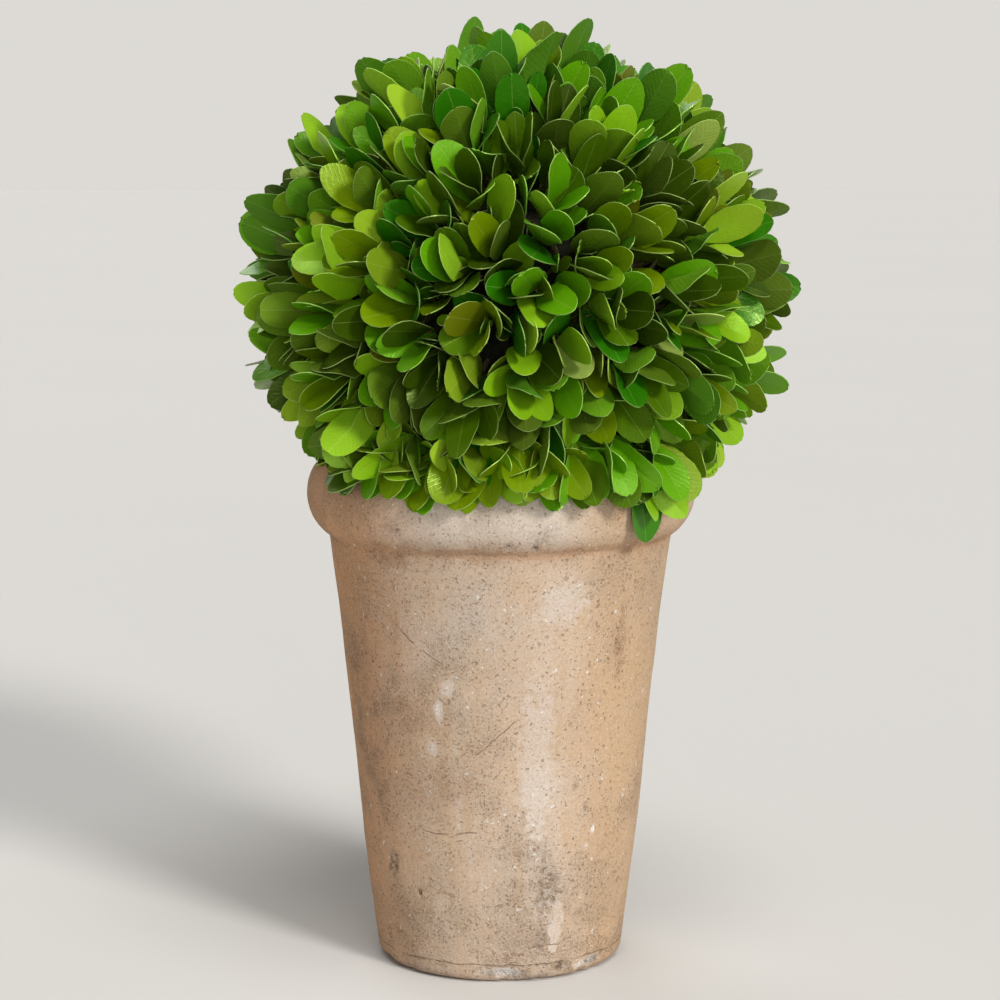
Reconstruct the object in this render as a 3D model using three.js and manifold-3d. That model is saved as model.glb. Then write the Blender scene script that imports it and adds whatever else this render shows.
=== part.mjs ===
// A box shrub clipped to a ball, growing in an aged clay pot with a rolled rim.
// Millimetres, +Z up. The origin is the centre of the pot's flat underside, and -Y is the plant's front.
import * as THREE from "three";
import { mergeVertices } from "three/addons/utils/BufferGeometryUtils.js";
import Module from "manifold-3d";

const wasm = await Module();
wasm.setup();

// Gap between pieces that touch
const SEAT_GAP = 0.3;

// Pot: a tall tapered body under a thick rolled rim
const POT_SIDES = 48;
const FOOT_RADIUS = 36.8;
const FOOT_EDGE = 3.6;
const BODY_FOOT_RADIUS = 40;
const NECK_RADIUS = 55.9;
const NECK_HEIGHT = 140.5;
const BODY_SWELL = 0.45;
const BODY_STEPS = 6;
const RIM_CORE_RADIUS = 51;
const RIM_ROLL = 12;
const RIM_MIDDLE_HEIGHT = 153.4;
const RIM_LOWER_DEPTH = 14;
const RIM_UPPER_DEPTH = 14.6;
const RIM_STEPS = 9;
const MOUTH_RADIUS = 47.2;
const MOUTH_ROUND = 3;
const WALL = 7.5;
// Where the middle of a quarter-round edge lies, as shares of its radius
const ARC_OUT = Math.SQRT1_2;
const ARC_IN = 1 - ARC_OUT;
const FLOOR_HEIGHT = 10;

// Soil that fills the pot to just under its mouth
const FILL_DEPTH_BELOW_RIM = 10;
const FILL_CROWN = 1.6;
const FILL_FLAT_RADIUS = 16;
const FILL_STEPS = 4;

// Short trunk, hidden in the foot of the ball
const TRUNK_SIDES = 14;
const TRUNK_HEIGHT = 34;
const TRUNK_FOOT_RADIUS = 7.2;
const TRUNK_TIP_RADIUS = 4.6;
const ROOT_FLARE = 4.2;
const FLARE_FADE = 5;
const FLARE_LOBES = 5;
const LOBE_DEPTH = 0.14;
const TRUNK_LEAN = 4.5;
const LEAN_BEND = 1.5;
const TRUNK_STEPS = 7;
const STEP_CROWDING = 1.4;

// Clipped ball: the leaf tips lie on it, and the woody core is inside it
const BALL_CENTRE = new THREE.Vector3(5.8, 0, 215.5);
const BALL_RADIUS = 85.5;
const TOP_HEIGHT = 305;
const LEAST_RISE = 0.5;
const CORE_RADIUS = 58;
const CORE_DETAIL = 4;

// Sprigs on a golden-angle lattice over the ball, and a ring of them that hangs over the pot's rim
const LATTICE_COUNT = 200;
const LATTICE_END = THREE.MathUtils.degToRad(120);
const GOLDEN_ANGLE = Math.PI * (3 - Math.sqrt(5));
const LATTICE_JITTER = 0.035;
const SKIRT_COUNT = 21;
const SKIRT_POLAR = THREE.MathUtils.degToRad(131);
const SKIRT_JITTER = 0.03;
const SKIRT_REACH = 1.8;
const SKIRT_SPREAD = 0.72;
const AXIS_JITTER = 0.09;
const REACH_JITTER = 3;
const STRAY_SHARE = 0.14;
const STRAY_REACH = 4.5;
const TWIG_ROOT_DEPTH = 8;
const TWIG_ROOT_RADIUS = 1.5;
const TWIG_TIP_RADIUS = 1.1;
const BUD_HEIGHT = 1.6;
const LEAVES_PER_SPRIG = 4;
const LEAF_SPREAD_DEG = [20, 41];
const SPREAD_JITTER_DEG = 5;
const LEAF_ROLL = 0.3;

// One leaf: narrow at its root, widest past the middle, blunt at its tip
const LEAF_LENGTH = 23.5;
const LEAF_LENGTH_JITTER = 2.2;
const OUTER_LEAF_SHARE = 0.96;
const LEAF_WIDTH_SHARE = 0.6;
const LEAF_WIDEST = 0.6;
const LEAF_TIP_SHARE = 0.5;
const LEAF_RIDGE = 0.9;
const LEAF_CURL = 0.05;

// How a leaf finds a pose clear of the pot and of its neighbours
const POT_CLEARANCE = 0.5;
const NEIGHBOUR_ANGLE = 0.75;
const TWIST_TRIES = 10;
const LIFT_TRIES = 14;
const LIFT_STEP = THREE.MathUtils.degToRad(3.5);
const SEED = 20119;
const SEED_STEP = 7919;

const UP = new THREE.Vector3(0, 0, 1);

// A small generator of repeatable numbers from 0 to 1
class SeededRandom {
  constructor(seed) {
    this.state = seed;
    this.next();
    this.next();
  }

  next() {
    this.state = (this.state * 16807) % 2147483647;
    return this.state / 2147483647;
  }

  between(low, high) {
    return low + (high - low) * this.next();
  }

  around(spread) {
    return this.between(-spread, spread);
  }
}

// Vertices and triangles of one closed body
class FacetBody {
  constructor() {
    this.points = [];
    this.faces = [];
  }

  vertex(point) {
    this.points.push(point.x, point.y, point.z);
    return this.points.length / 3 - 1;
  }

  triangle(a, b, c) {
    this.faces.push(a, b, c);
  }

  quad(a, b, c, d) {
    this.triangle(a, b, c);
    this.triangle(a, c, d);
  }

  geometry() {
    const made = new THREE.BufferGeometry();
    made.setAttribute("position", new THREE.Float32BufferAttribute(this.points, 3));
    made.setIndex(this.faces);
    return made;
  }
}

function solidFrom(geometry) {
  const bare = geometry.clone();
  bare.deleteAttribute("normal");
  bare.deleteAttribute("uv");
  const merged = mergeVertices(bare, 1e-4);
  return new wasm.Manifold(
    new wasm.Mesh({
      numProp: 3,
      vertProperties: new Float32Array(merged.attributes.position.array),
      triVerts: new Uint32Array(merged.index.array),
    }),
  );
}

function geometryFrom(solid) {
  const mesh = solid.getMesh();
  const made = new THREE.BufferGeometry();
  made.setAttribute("position", new THREE.BufferAttribute(mesh.vertProperties, 3));
  made.setIndex(new THREE.BufferAttribute(mesh.triVerts, 1));
  return made;
}

// A profile of [radius, height] pairs turned about +Z, from the axis round to the axis
function turned(profile, sides) {
  const points = profile.map(([radius, height]) => new THREE.Vector2(radius, height));
  const made = new THREE.LatheGeometry(points, sides);
  made.rotateX(Math.PI / 2);
  return made;
}

// Outer radius of the pot's body, with the slight swell that a thrown wall has
function bodyRadius(height) {
  const share = height / NECK_HEIGHT;
  const taper = THREE.MathUtils.lerp(BODY_FOOT_RADIUS, NECK_RADIUS, share);
  return taper + BODY_SWELL * Math.sin(2 * Math.PI * share);
}

// A point of the rolled rim's outline. The angle is 0 at its widest and a quarter turn at its top.
function rimPoint(angle) {
  const depth = angle < 0 ? RIM_LOWER_DEPTH : RIM_UPPER_DEPTH;
  return [
    RIM_CORE_RADIUS + RIM_ROLL * Math.cos(angle),
    RIM_MIDDLE_HEIGHT + depth * Math.sin(angle),
  ];
}

const POT_HEIGHT = RIM_MIDDLE_HEIGHT + RIM_UPPER_DEPTH;

// The pot's outline, from the middle of its underside to the top of its rim
function potOutside() {
  const profile = [[0, 0], [FOOT_RADIUS, 0]];
  profile.push([FOOT_RADIUS + ARC_OUT * FOOT_EDGE, ARC_IN * FOOT_EDGE]);
  for (let step = 0; step <= BODY_STEPS; step += 1) {
    const height = THREE.MathUtils.lerp(FOOT_EDGE, NECK_HEIGHT, step / BODY_STEPS);
    profile.push([bodyRadius(height), height]);
  }
  const start = -Math.acos((NECK_RADIUS - RIM_CORE_RADIUS) / RIM_ROLL);
  for (let step = 1; step <= RIM_STEPS; step += 1) {
    profile.push(rimPoint(THREE.MathUtils.lerp(start, Math.PI / 2, step / RIM_STEPS)));
  }
  return profile;
}

// Radius of the pot's inner wall
function cavityRadius(height) {
  const lip = POT_HEIGHT - MOUTH_ROUND;
  const share = (height - FLOOR_HEIGHT) / (lip - FLOOR_HEIGHT);
  return THREE.MathUtils.lerp(bodyRadius(FLOOR_HEIGHT) - WALL, MOUTH_RADIUS, share);
}

function potGeometry() {
  const lip = POT_HEIGHT - MOUTH_ROUND;
  const inside = [
    [MOUTH_RADIUS + ARC_IN * MOUTH_ROUND, POT_HEIGHT - ARC_IN * MOUTH_ROUND],
    [cavityRadius(lip), lip],
    [cavityRadius(FLOOR_HEIGHT), FLOOR_HEIGHT],
    [0, FLOOR_HEIGHT],
  ];
  return turned([...potOutside(), ...inside], POT_SIDES);
}

const FILL_TOP = POT_HEIGHT - FILL_DEPTH_BELOW_RIM;

// Soil: fits the cavity, and rises a little to a flat round the trunk's foot
function fillGeometry() {
  const floor = FLOOR_HEIGHT + SEAT_GAP;
  const edgeHeight = FILL_TOP - FILL_CROWN;
  const edgeRadius = cavityRadius(edgeHeight) - SEAT_GAP;
  const profile = [[0, floor], [cavityRadius(floor) - SEAT_GAP, floor], [edgeRadius, edgeHeight]];
  for (let step = 1; step <= FILL_STEPS; step += 1) {
    const share = step / FILL_STEPS;
    profile.push([
      THREE.MathUtils.lerp(edgeRadius, FILL_FLAT_RADIUS, share),
      edgeHeight + FILL_CROWN * Math.sin((share * Math.PI) / 2),
    ]);
  }
  profile.push([0, FILL_TOP]);
  return turned(profile, POT_SIDES);
}

// A tapered, leaning stem on a flat cut. grown widens it all over and at its tip.
function trunkGeometry(grown) {
  const profile = [[0, 0]];
  for (let step = 0; step <= TRUNK_STEPS; step += 1) {
    const share = (step / TRUNK_STEPS) ** STEP_CROWDING;
    const flare = ROOT_FLARE * Math.exp((-share * TRUNK_HEIGHT) / FLARE_FADE);
    const radius = THREE.MathUtils.lerp(TRUNK_FOOT_RADIUS, TRUNK_TIP_RADIUS, share);
    profile.push([radius + flare + grown, share * (TRUNK_HEIGHT + grown)]);
  }
  profile.push([0, TRUNK_HEIGHT + grown]);
  const made = turned(profile, TRUNK_SIDES);
  const position = made.getAttribute("position");
  const point = new THREE.Vector3();
  for (let index = 0; index < position.count; index += 1) {
    point.fromBufferAttribute(position, index);
    const fade = Math.exp(-point.z / FLARE_FADE);
    const lobe = 1 + LOBE_DEPTH * fade * Math.cos(FLARE_LOBES * Math.atan2(point.y, point.x));
    const lean = TRUNK_LEAN * (Math.max(0, point.z) / TRUNK_HEIGHT) ** LEAN_BEND;
    position.setXYZ(index, point.x * lobe + lean, point.y * lobe, point.z);
  }
  made.translate(0, 0, FILL_TOP + SEAT_GAP);
  return made;
}

// The room that leaves keep out of: the pot grown by its clearance, with its mouth closed
function potKeepOut() {
  const profile = potOutside().map(([radius, height]) => [
    radius > 0 ? radius + POT_CLEARANCE : 0,
    height + (height > 0 ? POT_CLEARANCE : 0),
  ]);
  profile.push([0, POT_HEIGHT + POT_CLEARANCE]);
  return solidFrom(turned(profile, POT_SIDES));
}

// The woody core: a ball with a flat foot, cut clear of the trunk that stands in it
function coreSolid() {
  const ball = new THREE.IcosahedronGeometry(CORE_RADIUS, CORE_DETAIL);
  ball.translate(BALL_CENTRE.x, BALL_CENTRE.y, BALL_CENTRE.z);
  const size = 4 * CORE_RADIUS;
  const below = new THREE.BoxGeometry(size, size, size);
  below.translate(BALL_CENTRE.x, BALL_CENTRE.y, FILL_TOP + SEAT_GAP - size / 2);
  const socket = solidFrom(trunkGeometry(SEAT_GAP));
  return solidFrom(ball).subtract(solidFrom(below)).subtract(socket);
}

// Where a sprig stands on the ball, which way it grows, and how far its leaf tips reach
function planSprig(polar, azimuth, extraReach, spreading, random) {
  const across = Math.sin(polar);
  const radial = new THREE.Vector3(
    across * Math.cos(azimuth),
    across * Math.sin(azimuth),
    Math.cos(polar),
  );
  const axis = radial.clone();
  axis.x += random.around(AXIS_JITTER);
  axis.y += random.around(AXIS_JITTER);
  axis.z += random.around(AXIS_JITTER);
  axis.normalize();
  const stray = random.next() < STRAY_SHARE ? STRAY_REACH : 0;
  const wanted = BALL_RADIUS + extraReach + stray + random.around(REACH_JITTER);
  const headroom = (TOP_HEIGHT - BALL_CENTRE.z) / Math.max(Math.cos(polar), LEAST_RISE);
  const reach = Math.min(wanted, headroom - LEAF_LENGTH_JITTER);
  return { radial, axis, reach, leaves: leafPlans(spreading, random), random };
}

function latticeSprig(index) {
  const random = new SeededRandom(SEED + SEED_STEP * index);
  const polar = Math.acos(1 - (2 * (index + 0.5)) / LATTICE_COUNT);
  const azimuth = index * GOLDEN_ANGLE;
  const shift = [random.around(LATTICE_JITTER), random.around(LATTICE_JITTER)];
  return planSprig(polar + shift[0], azimuth + shift[1], 0, 1, random);
}

function skirtSprig(index) {
  const random = new SeededRandom(SEED + SEED_STEP * (LATTICE_COUNT + index));
  const shift = [random.around(SKIRT_JITTER), random.around(SKIRT_JITTER)];
  const azimuth = (2 * Math.PI * index) / SKIRT_COUNT;
  return planSprig(SKIRT_POLAR + shift[0], azimuth + shift[1], SKIRT_REACH, SKIRT_SPREAD, random);
}

// Unit vectors across a sprig's axis
function acrossAxis(axis) {
  const helper = Math.abs(axis.z) < 0.9 ? UP : new THREE.Vector3(1, 0, 0);
  const first = new THREE.Vector3().crossVectors(helper, axis).normalize();
  const second = new THREE.Vector3().crossVectors(axis, first);
  return { first, second };
}

function turnedAcross({ first, second }, angle) {
  return first.clone().multiplyScalar(Math.cos(angle)).addScaledVector(second, Math.sin(angle));
}

// The size and pose of each leaf on a sprig: opposite pairs set crosswise, the second spread wider
function leafPlans(spreading, random) {
  return Array.from({ length: LEAVES_PER_SPRIG }, (_, place) => {
    const outer = place % 2;
    const scale = outer ? OUTER_LEAF_SHARE : 1;
    const spread = spreading * (LEAF_SPREAD_DEG[outer] + random.around(SPREAD_JITTER_DEG));
    return {
      turn: (place * 2 * Math.PI) / LEAVES_PER_SPRIG,
      spread: THREE.MathUtils.degToRad(spread),
      length: scale * (LEAF_LENGTH + random.around(LEAF_LENGTH_JITTER)),
      roll: random.around(LEAF_ROLL),
    };
  });
}

// Corners of one leaf. root holds the left and right corners and the top one that it grows from.
function leafCorners(root, axis, across, plan, lift) {
  const side = new THREE.Vector3().crossVectors(axis, across);
  const way = axis.clone().multiplyScalar(Math.cos(plan.spread));
  way.addScaledVector(across, Math.sin(plan.spread));
  const lifted = way.clone().lerp(UP, Math.sin(lift)).normalize();
  side.addScaledVector(lifted, -side.dot(lifted)).normalize().applyAxisAngle(lifted, plan.roll);
  const top = new THREE.Vector3().crossVectors(lifted, side).normalize();
  const base = root.left.clone().lerp(root.right, 0.5);
  const middle = base.clone().addScaledVector(lifted, LEAF_WIDEST * plan.length);
  const end = base.clone().addScaledVector(lifted, plan.length);
  end.addScaledVector(top, -LEAF_CURL * plan.length);
  const halfWidth = (LEAF_WIDTH_SHARE * plan.length) / 2;
  const halfTip = LEAF_TIP_SHARE * halfWidth;
  return {
    left: middle.clone().addScaledVector(side, halfWidth),
    right: middle.clone().addScaledVector(side, -halfWidth),
    ridge: middle.clone().addScaledVector(top, LEAF_RIDGE),
    tipLeft: end.clone().addScaledVector(side, halfTip),
    tipRight: end.clone().addScaledVector(side, -halfTip),
  };
}

// Adds a leaf to a body on three root vertices that are already in it
function growLeaf(body, rootLeft, rootRight, rootTop, corners) {
  const left = body.vertex(corners.left);
  const right = body.vertex(corners.right);
  const ridge = body.vertex(corners.ridge);
  const tipLeft = body.vertex(corners.tipLeft);
  const tipRight = body.vertex(corners.tipRight);
  body.quad(rootLeft, left, right, rootRight);
  body.quad(rootRight, right, ridge, rootTop);
  body.quad(rootTop, ridge, left, rootLeft);
  body.quad(left, tipLeft, tipRight, right);
  body.triangle(right, tipRight, ridge);
  body.triangle(tipRight, tipLeft, ridge);
  body.triangle(tipLeft, left, ridge);
}

// One leaf as a closed solid of its own, to test what it touches
function leafSolid(root, corners) {
  const body = new FacetBody();
  const left = body.vertex(root.left);
  const right = body.vertex(root.right);
  const top = body.vertex(root.top);
  growLeaf(body, left, right, top, corners);
  body.triangle(left, right, top);
  return solidFrom(body.geometry());
}

// Corners of the twig's end, its bud, and the frame that its leaves are set in
function twigEnd(plan, twist) {
  const frame = acrossAxis(plan.axis);
  const station = plan.reach - Math.cos(THREE.MathUtils.degToRad(LEAF_SPREAD_DEG[0])) * LEAF_LENGTH;
  const centre = BALL_CENTRE.clone().addScaledVector(plan.radial, station);
  const quarter = Math.PI / LEAVES_PER_SPRIG;
  const corners = plan.leaves.map((leaf) =>
    centre.clone().addScaledVector(turnedAcross(frame, twist + leaf.turn - quarter), TWIG_TIP_RADIUS),
  );
  const bud = centre.clone().addScaledVector(plan.axis, BUD_HEIGHT);
  return { frame, station, corners, bud };
}

// A leaf's trial pose on its twig, as corners and as a solid
function poseLeaf(plan, end, twist, place, lift) {
  const root = {
    left: end.corners[(place + 1) % LEAVES_PER_SPRIG],
    right: end.corners[place],
    top: end.bud,
  };
  const leaf = plan.leaves[place];
  const across = turnedAcross(end.frame, twist + leaf.turn);
  const corners = leafCorners(root, plan.axis, across, leaf, lift);
  return { corners, solid: leafSolid(root, corners) };
}

function touches(solid, others) {
  return others.some((other) => !solid.intersect(other).isEmpty());
}

// Poses a sprig's leaves clear of the pot and of the leaves that already stand, or skips a leaf
function placeLeaves(plan, twist, neighbours, keepOut) {
  const end = twigEnd(plan, twist);
  const leaves = plan.leaves.map((leaf, place) => {
    for (let attempt = 0; attempt < LIFT_TRIES; attempt += 1) {
      const posed = poseLeaf(plan, end, twist, place, attempt * LIFT_STEP);
      if (posed.solid.intersect(keepOut).isEmpty()) {
        return touches(posed.solid, neighbours) ? null : posed;
      }
    }
    return null;
  });
  return { end, leaves, count: leaves.filter(Boolean).length };
}

// Four-sided twig from inside the core to its bud, with a leaf on each of the bud's faces that has one
function sprigGeometry(plan, { end, leaves }) {
  const body = new FacetBody();
  const rootCentre = BALL_CENTRE.clone().addScaledVector(plan.radial, CORE_RADIUS - TWIG_ROOT_DEPTH);
  const endCentre = BALL_CENTRE.clone().addScaledVector(plan.radial, end.station);
  const widening = TWIG_ROOT_RADIUS / TWIG_TIP_RADIUS;
  const bottom = end.corners.map((corner) =>
    body.vertex(rootCentre.clone().addScaledVector(corner.clone().sub(endCentre), widening)),
  );
  const top = end.corners.map((corner) => body.vertex(corner));
  const bud = body.vertex(end.bud);
  leaves.forEach((leaf, place) => {
    const next = (place + 1) % LEAVES_PER_SPRIG;
    body.quad(bottom[place], bottom[next], top[next], top[place]);
    if (leaf) {
      growLeaf(body, top[next], top[place], bud, leaf.corners);
    } else {
      body.triangle(top[place], top[next], bud);
    }
  });
  body.quad(bottom[3], bottom[2], bottom[1], bottom[0]);
  return body.geometry();
}

// Tries a sprig at several twists, and keeps the one that leaves most of its leaves clear
function standSprig(plan, standing, keepOut) {
  const near = standing
    .filter((other) => other.radial.angleTo(plan.radial) < NEIGHBOUR_ANGLE)
    .flatMap((other) => other.solids);
  const firstTwist = plan.random.between(0, Math.PI);
  let best = null;
  for (let attempt = 0; attempt < TWIST_TRIES; attempt += 1) {
    const twist = firstTwist + (attempt * Math.PI) / (2 * TWIST_TRIES);
    const placed = placeLeaves(plan, twist, near, keepOut);
    if (!best || placed.count > best.count) {
      best = placed;
    }
    if (best.count === LEAVES_PER_SPRIG) {
      break;
    }
  }
  standing.push({
    radial: plan.radial,
    solids: best.leaves.filter(Boolean).map((leaf) => leaf.solid),
  });
  return solidFrom(sprigGeometry(plan, best));
}

// The ball of foliage, as one closed body
function clippedBall() {
  const plans = [];
  for (let index = 0; index < SKIRT_COUNT; index += 1) {
    plans.push(skirtSprig(index));
  }
  const latticeSprigs = Math.floor((LATTICE_COUNT * (1 - Math.cos(LATTICE_END))) / 2);
  for (let index = 0; index < latticeSprigs; index += 1) {
    plans.push(latticeSprig(index));
  }
  const keepOut = potKeepOut();
  const standing = [];
  const sprigs = plans.map((plan) => standSprig(plan, standing, keepOut));
  const joined = wasm.Manifold.union([coreSolid(), ...sprigs]);
  const pieces = joined.decompose().sort((a, b) => b.volume() - a.volume());
  return geometryFrom(pieces[0]);
}

const clay = new THREE.MeshStandardMaterial({ color: 0xc3ab8f, roughness: 0.9, metalness: 0 });
const soil = new THREE.MeshStandardMaterial({ color: 0x3a2c20, roughness: 1, metalness: 0 });
const bark = new THREE.MeshStandardMaterial({ color: 0x6b5640, roughness: 0.95, metalness: 0 });
const foliage = new THREE.MeshStandardMaterial({ color: 0x3f7a1a, roughness: 0.5, metalness: 0 });

function named(name, geometry, material) {
  const mesh = new THREE.Mesh(geometry, material);
  mesh.name = name;
  return mesh;
}

const topiary = new THREE.Group();
topiary.add(named("pot", potGeometry(), clay));
topiary.add(named("pot_fill", fillGeometry(), soil));
topiary.add(named("trunk", trunkGeometry(0), bark));
topiary.add(named("clipped_ball", clippedBall(), foliage));

export default topiary;
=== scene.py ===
"""A box shrub clipped to a ball, in a weathered clay pot, finished around its fixed frame.

Metres, +Z up. The origin is the centre of the pot's flat underside, and -Y is the plant's front.
"""

import logging
import math
from collections.abc import Mapping, Sequence
from dataclasses import dataclass, field, replace
from enum import Enum
from functools import reduce

import bmesh
import bpy
import numpy as np
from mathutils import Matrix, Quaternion, Vector, noise
from mathutils.bvhtree import BVHTree


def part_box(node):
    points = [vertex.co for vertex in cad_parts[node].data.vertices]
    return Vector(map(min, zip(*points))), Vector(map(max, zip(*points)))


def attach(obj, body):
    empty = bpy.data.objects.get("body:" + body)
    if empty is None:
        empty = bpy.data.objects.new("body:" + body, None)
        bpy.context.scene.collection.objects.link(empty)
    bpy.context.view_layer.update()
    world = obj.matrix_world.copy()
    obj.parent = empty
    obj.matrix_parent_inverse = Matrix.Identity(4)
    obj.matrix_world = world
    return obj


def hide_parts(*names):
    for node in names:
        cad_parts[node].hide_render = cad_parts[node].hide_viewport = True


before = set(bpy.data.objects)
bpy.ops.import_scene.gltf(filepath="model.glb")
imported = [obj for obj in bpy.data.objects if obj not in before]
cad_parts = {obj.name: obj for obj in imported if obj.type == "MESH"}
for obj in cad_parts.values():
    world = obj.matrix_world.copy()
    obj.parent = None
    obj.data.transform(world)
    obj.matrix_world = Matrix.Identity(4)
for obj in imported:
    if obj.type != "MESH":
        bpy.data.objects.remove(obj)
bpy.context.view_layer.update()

log = logging.getLogger("box_topiary")

Pair = tuple[float, float]
Pairs = tuple[Pair, ...]
Triple = tuple[float, float, float]
Colour = Triple
Piece = bpy.types.Object
Finish = bpy.types.Material
Socket = bpy.types.NodeSocket
Group = bpy.types.NodeTree
Shape = bmesh.types.BMesh
Number = Socket | float
Tone = Socket | Colour

UP = Vector((0.0, 0.0, 1.0))
FULL_TURN = 2 * math.pi
GOLDEN_ANGLE = math.pi * (3 - math.sqrt(5))
NEARLY_UPRIGHT = 0.9
MERGE_DISTANCE = 1e-5
ROOT_BODY = "root"
LEAF_MAP = "leaf_map"


class SeededRandom:
    """A small generator of repeatable numbers, the same one that the solids are grown with."""

    MULTIPLIER = 16807
    MODULUS = 2147483647

    def __init__(self, seed: int) -> None:
        """Starts the sequence, past its first two numbers.

        Args:
            seed: A whole number from 1 up.
        """
        self.state = seed
        self.next()
        self.next()

    def next(self) -> float:
        """The next number from 0 to 1."""
        self.state = (self.state * self.MULTIPLIER) % self.MODULUS
        return self.state / self.MODULUS

    def between(self, low: float, high: float) -> float:
        """The next number from low to high."""
        return low + (high - low) * self.next()

    def around(self, spread: float) -> float:
        """The next number from -spread to spread."""
        return self.between(-spread, spread)

    def pick(self, weights: Sequence[float]) -> int:
        """The place of a weight, each as likely as it is large.

        Args:
            weights: Numbers of zero or more.

        Returns:
            An index into weights.
        """
        mark = self.next() * sum(weights)
        for place, weight in enumerate(weights):
            mark -= weight
            if mark <= 0:
                return place
        return len(weights) - 1


def smoothstep(low: float, high: float, value: float) -> float:
    """A smooth rise from 0 at low to 1 at high, or a fall where low is the larger."""
    share = min(1.0, max(0.0, (value - low) / (high - low)))
    return share * share * (3 - 2 * share)


def stations(start: float, end: float, spacing: float) -> list[float]:
    """Evenly spaced numbers from start to end, both among them, at most a spacing apart."""
    count = max(1, math.ceil(abs(end - start) / spacing))
    return [start + (end - start) * step / count for step in range(count + 1)]


def round_axis(radius: float, turn: float, height: float) -> Vector:
    """The point at a radius from the upright axis, a turn round it and a height."""
    return Vector((radius * math.cos(turn), radius * math.sin(turn), height))


def polar_way(polar: float, azimuth: float) -> Vector:
    """The unit vector at an angle from straight up and an angle round the upright axis."""
    return round_axis(math.sin(polar), azimuth, math.cos(polar))


def golden_way(index: int, count: int, end: float = math.pi, shift: float = 0.0) -> Vector:
    """One of count unit vectors, spread evenly from straight up down to an end angle, turned by a shift."""
    height = 1 - (1 - math.cos(end)) * (index + 0.5) / count
    return round_axis(math.sqrt(1 - height * height), index * GOLDEN_ANGLE + shift, height)


def square_to(axis: Vector) -> tuple[Vector, Vector]:
    """Two unit vectors that are square to a unit vector and to each other."""
    first = (UP if abs(axis.z) < NEARLY_UPRIGHT else Vector((1.0, 0.0, 0.0))).cross(axis).normalized()
    return first, axis.cross(first)


def turned(outline: Sequence[Pair], sides: int) -> Shape:
    """Turns an outline round the upright axis.

    Args:
        outline: Radii and heights, from a first point on the axis to a last one.
        sides: How many steps go round.

    Returns:
        The closed shape.
    """
    bm = bmesh.new()
    verts = [bm.verts.new((radius, 0.0, height)) for radius, height in outline]
    edges = [bm.edges.new(pair) for pair in zip(verts, verts[1:])]
    bmesh.ops.spin(
        bm, geom=verts + edges, cent=(0, 0, 0), axis=UP, angle=FULL_TURN, steps=sides, use_merge=True
    )
    bmesh.ops.remove_doubles(bm, verts=bm.verts, dist=MERGE_DISTANCE)
    bmesh.ops.recalc_face_normals(bm, faces=bm.faces)
    return bm


def finished_piece(name: str, shape: Shape | bpy.types.Mesh, sharp_deg: float = 50.0) -> Piece:
    """Links a shape as an object at the origin, smooth but for its sharp edges.

    Args:
        name: The piece's name.
        shape: Its mesh, or the bmesh that it is made from and that is freed here.
        sharp_deg: Edges that turn by more than this stay sharp.

    Returns:
        The new object.
    """
    mesh = shape
    if isinstance(shape, Shape):
        mesh = bpy.data.meshes.new(name)
        shape.to_mesh(mesh)
        shape.free()
    mesh.shade_smooth()
    mesh.set_sharp_from_angle(angle=math.radians(sharp_deg))
    piece = bpy.data.objects.new(name, mesh)
    bpy.context.scene.collection.objects.link(piece)
    return piece


def settle(piece: Piece, finish: Finish | None, node: str) -> None:
    """Gives a piece its finish and the plant's only body, and hides the solid that it stands for.

    Args:
        piece: The piece.
        finish: Its material, or None where it has its materials already.
        node: The solid that it stands for.
    """
    if finish:
        piece.data.materials.append(finish)
    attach(piece, ROOT_BODY)
    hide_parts(node)
    triangles = sum(len(polygon.vertices) - 2 for polygon in piece.data.polygons)
    log.info("%s: %d triangles", piece.name, triangles)


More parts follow.
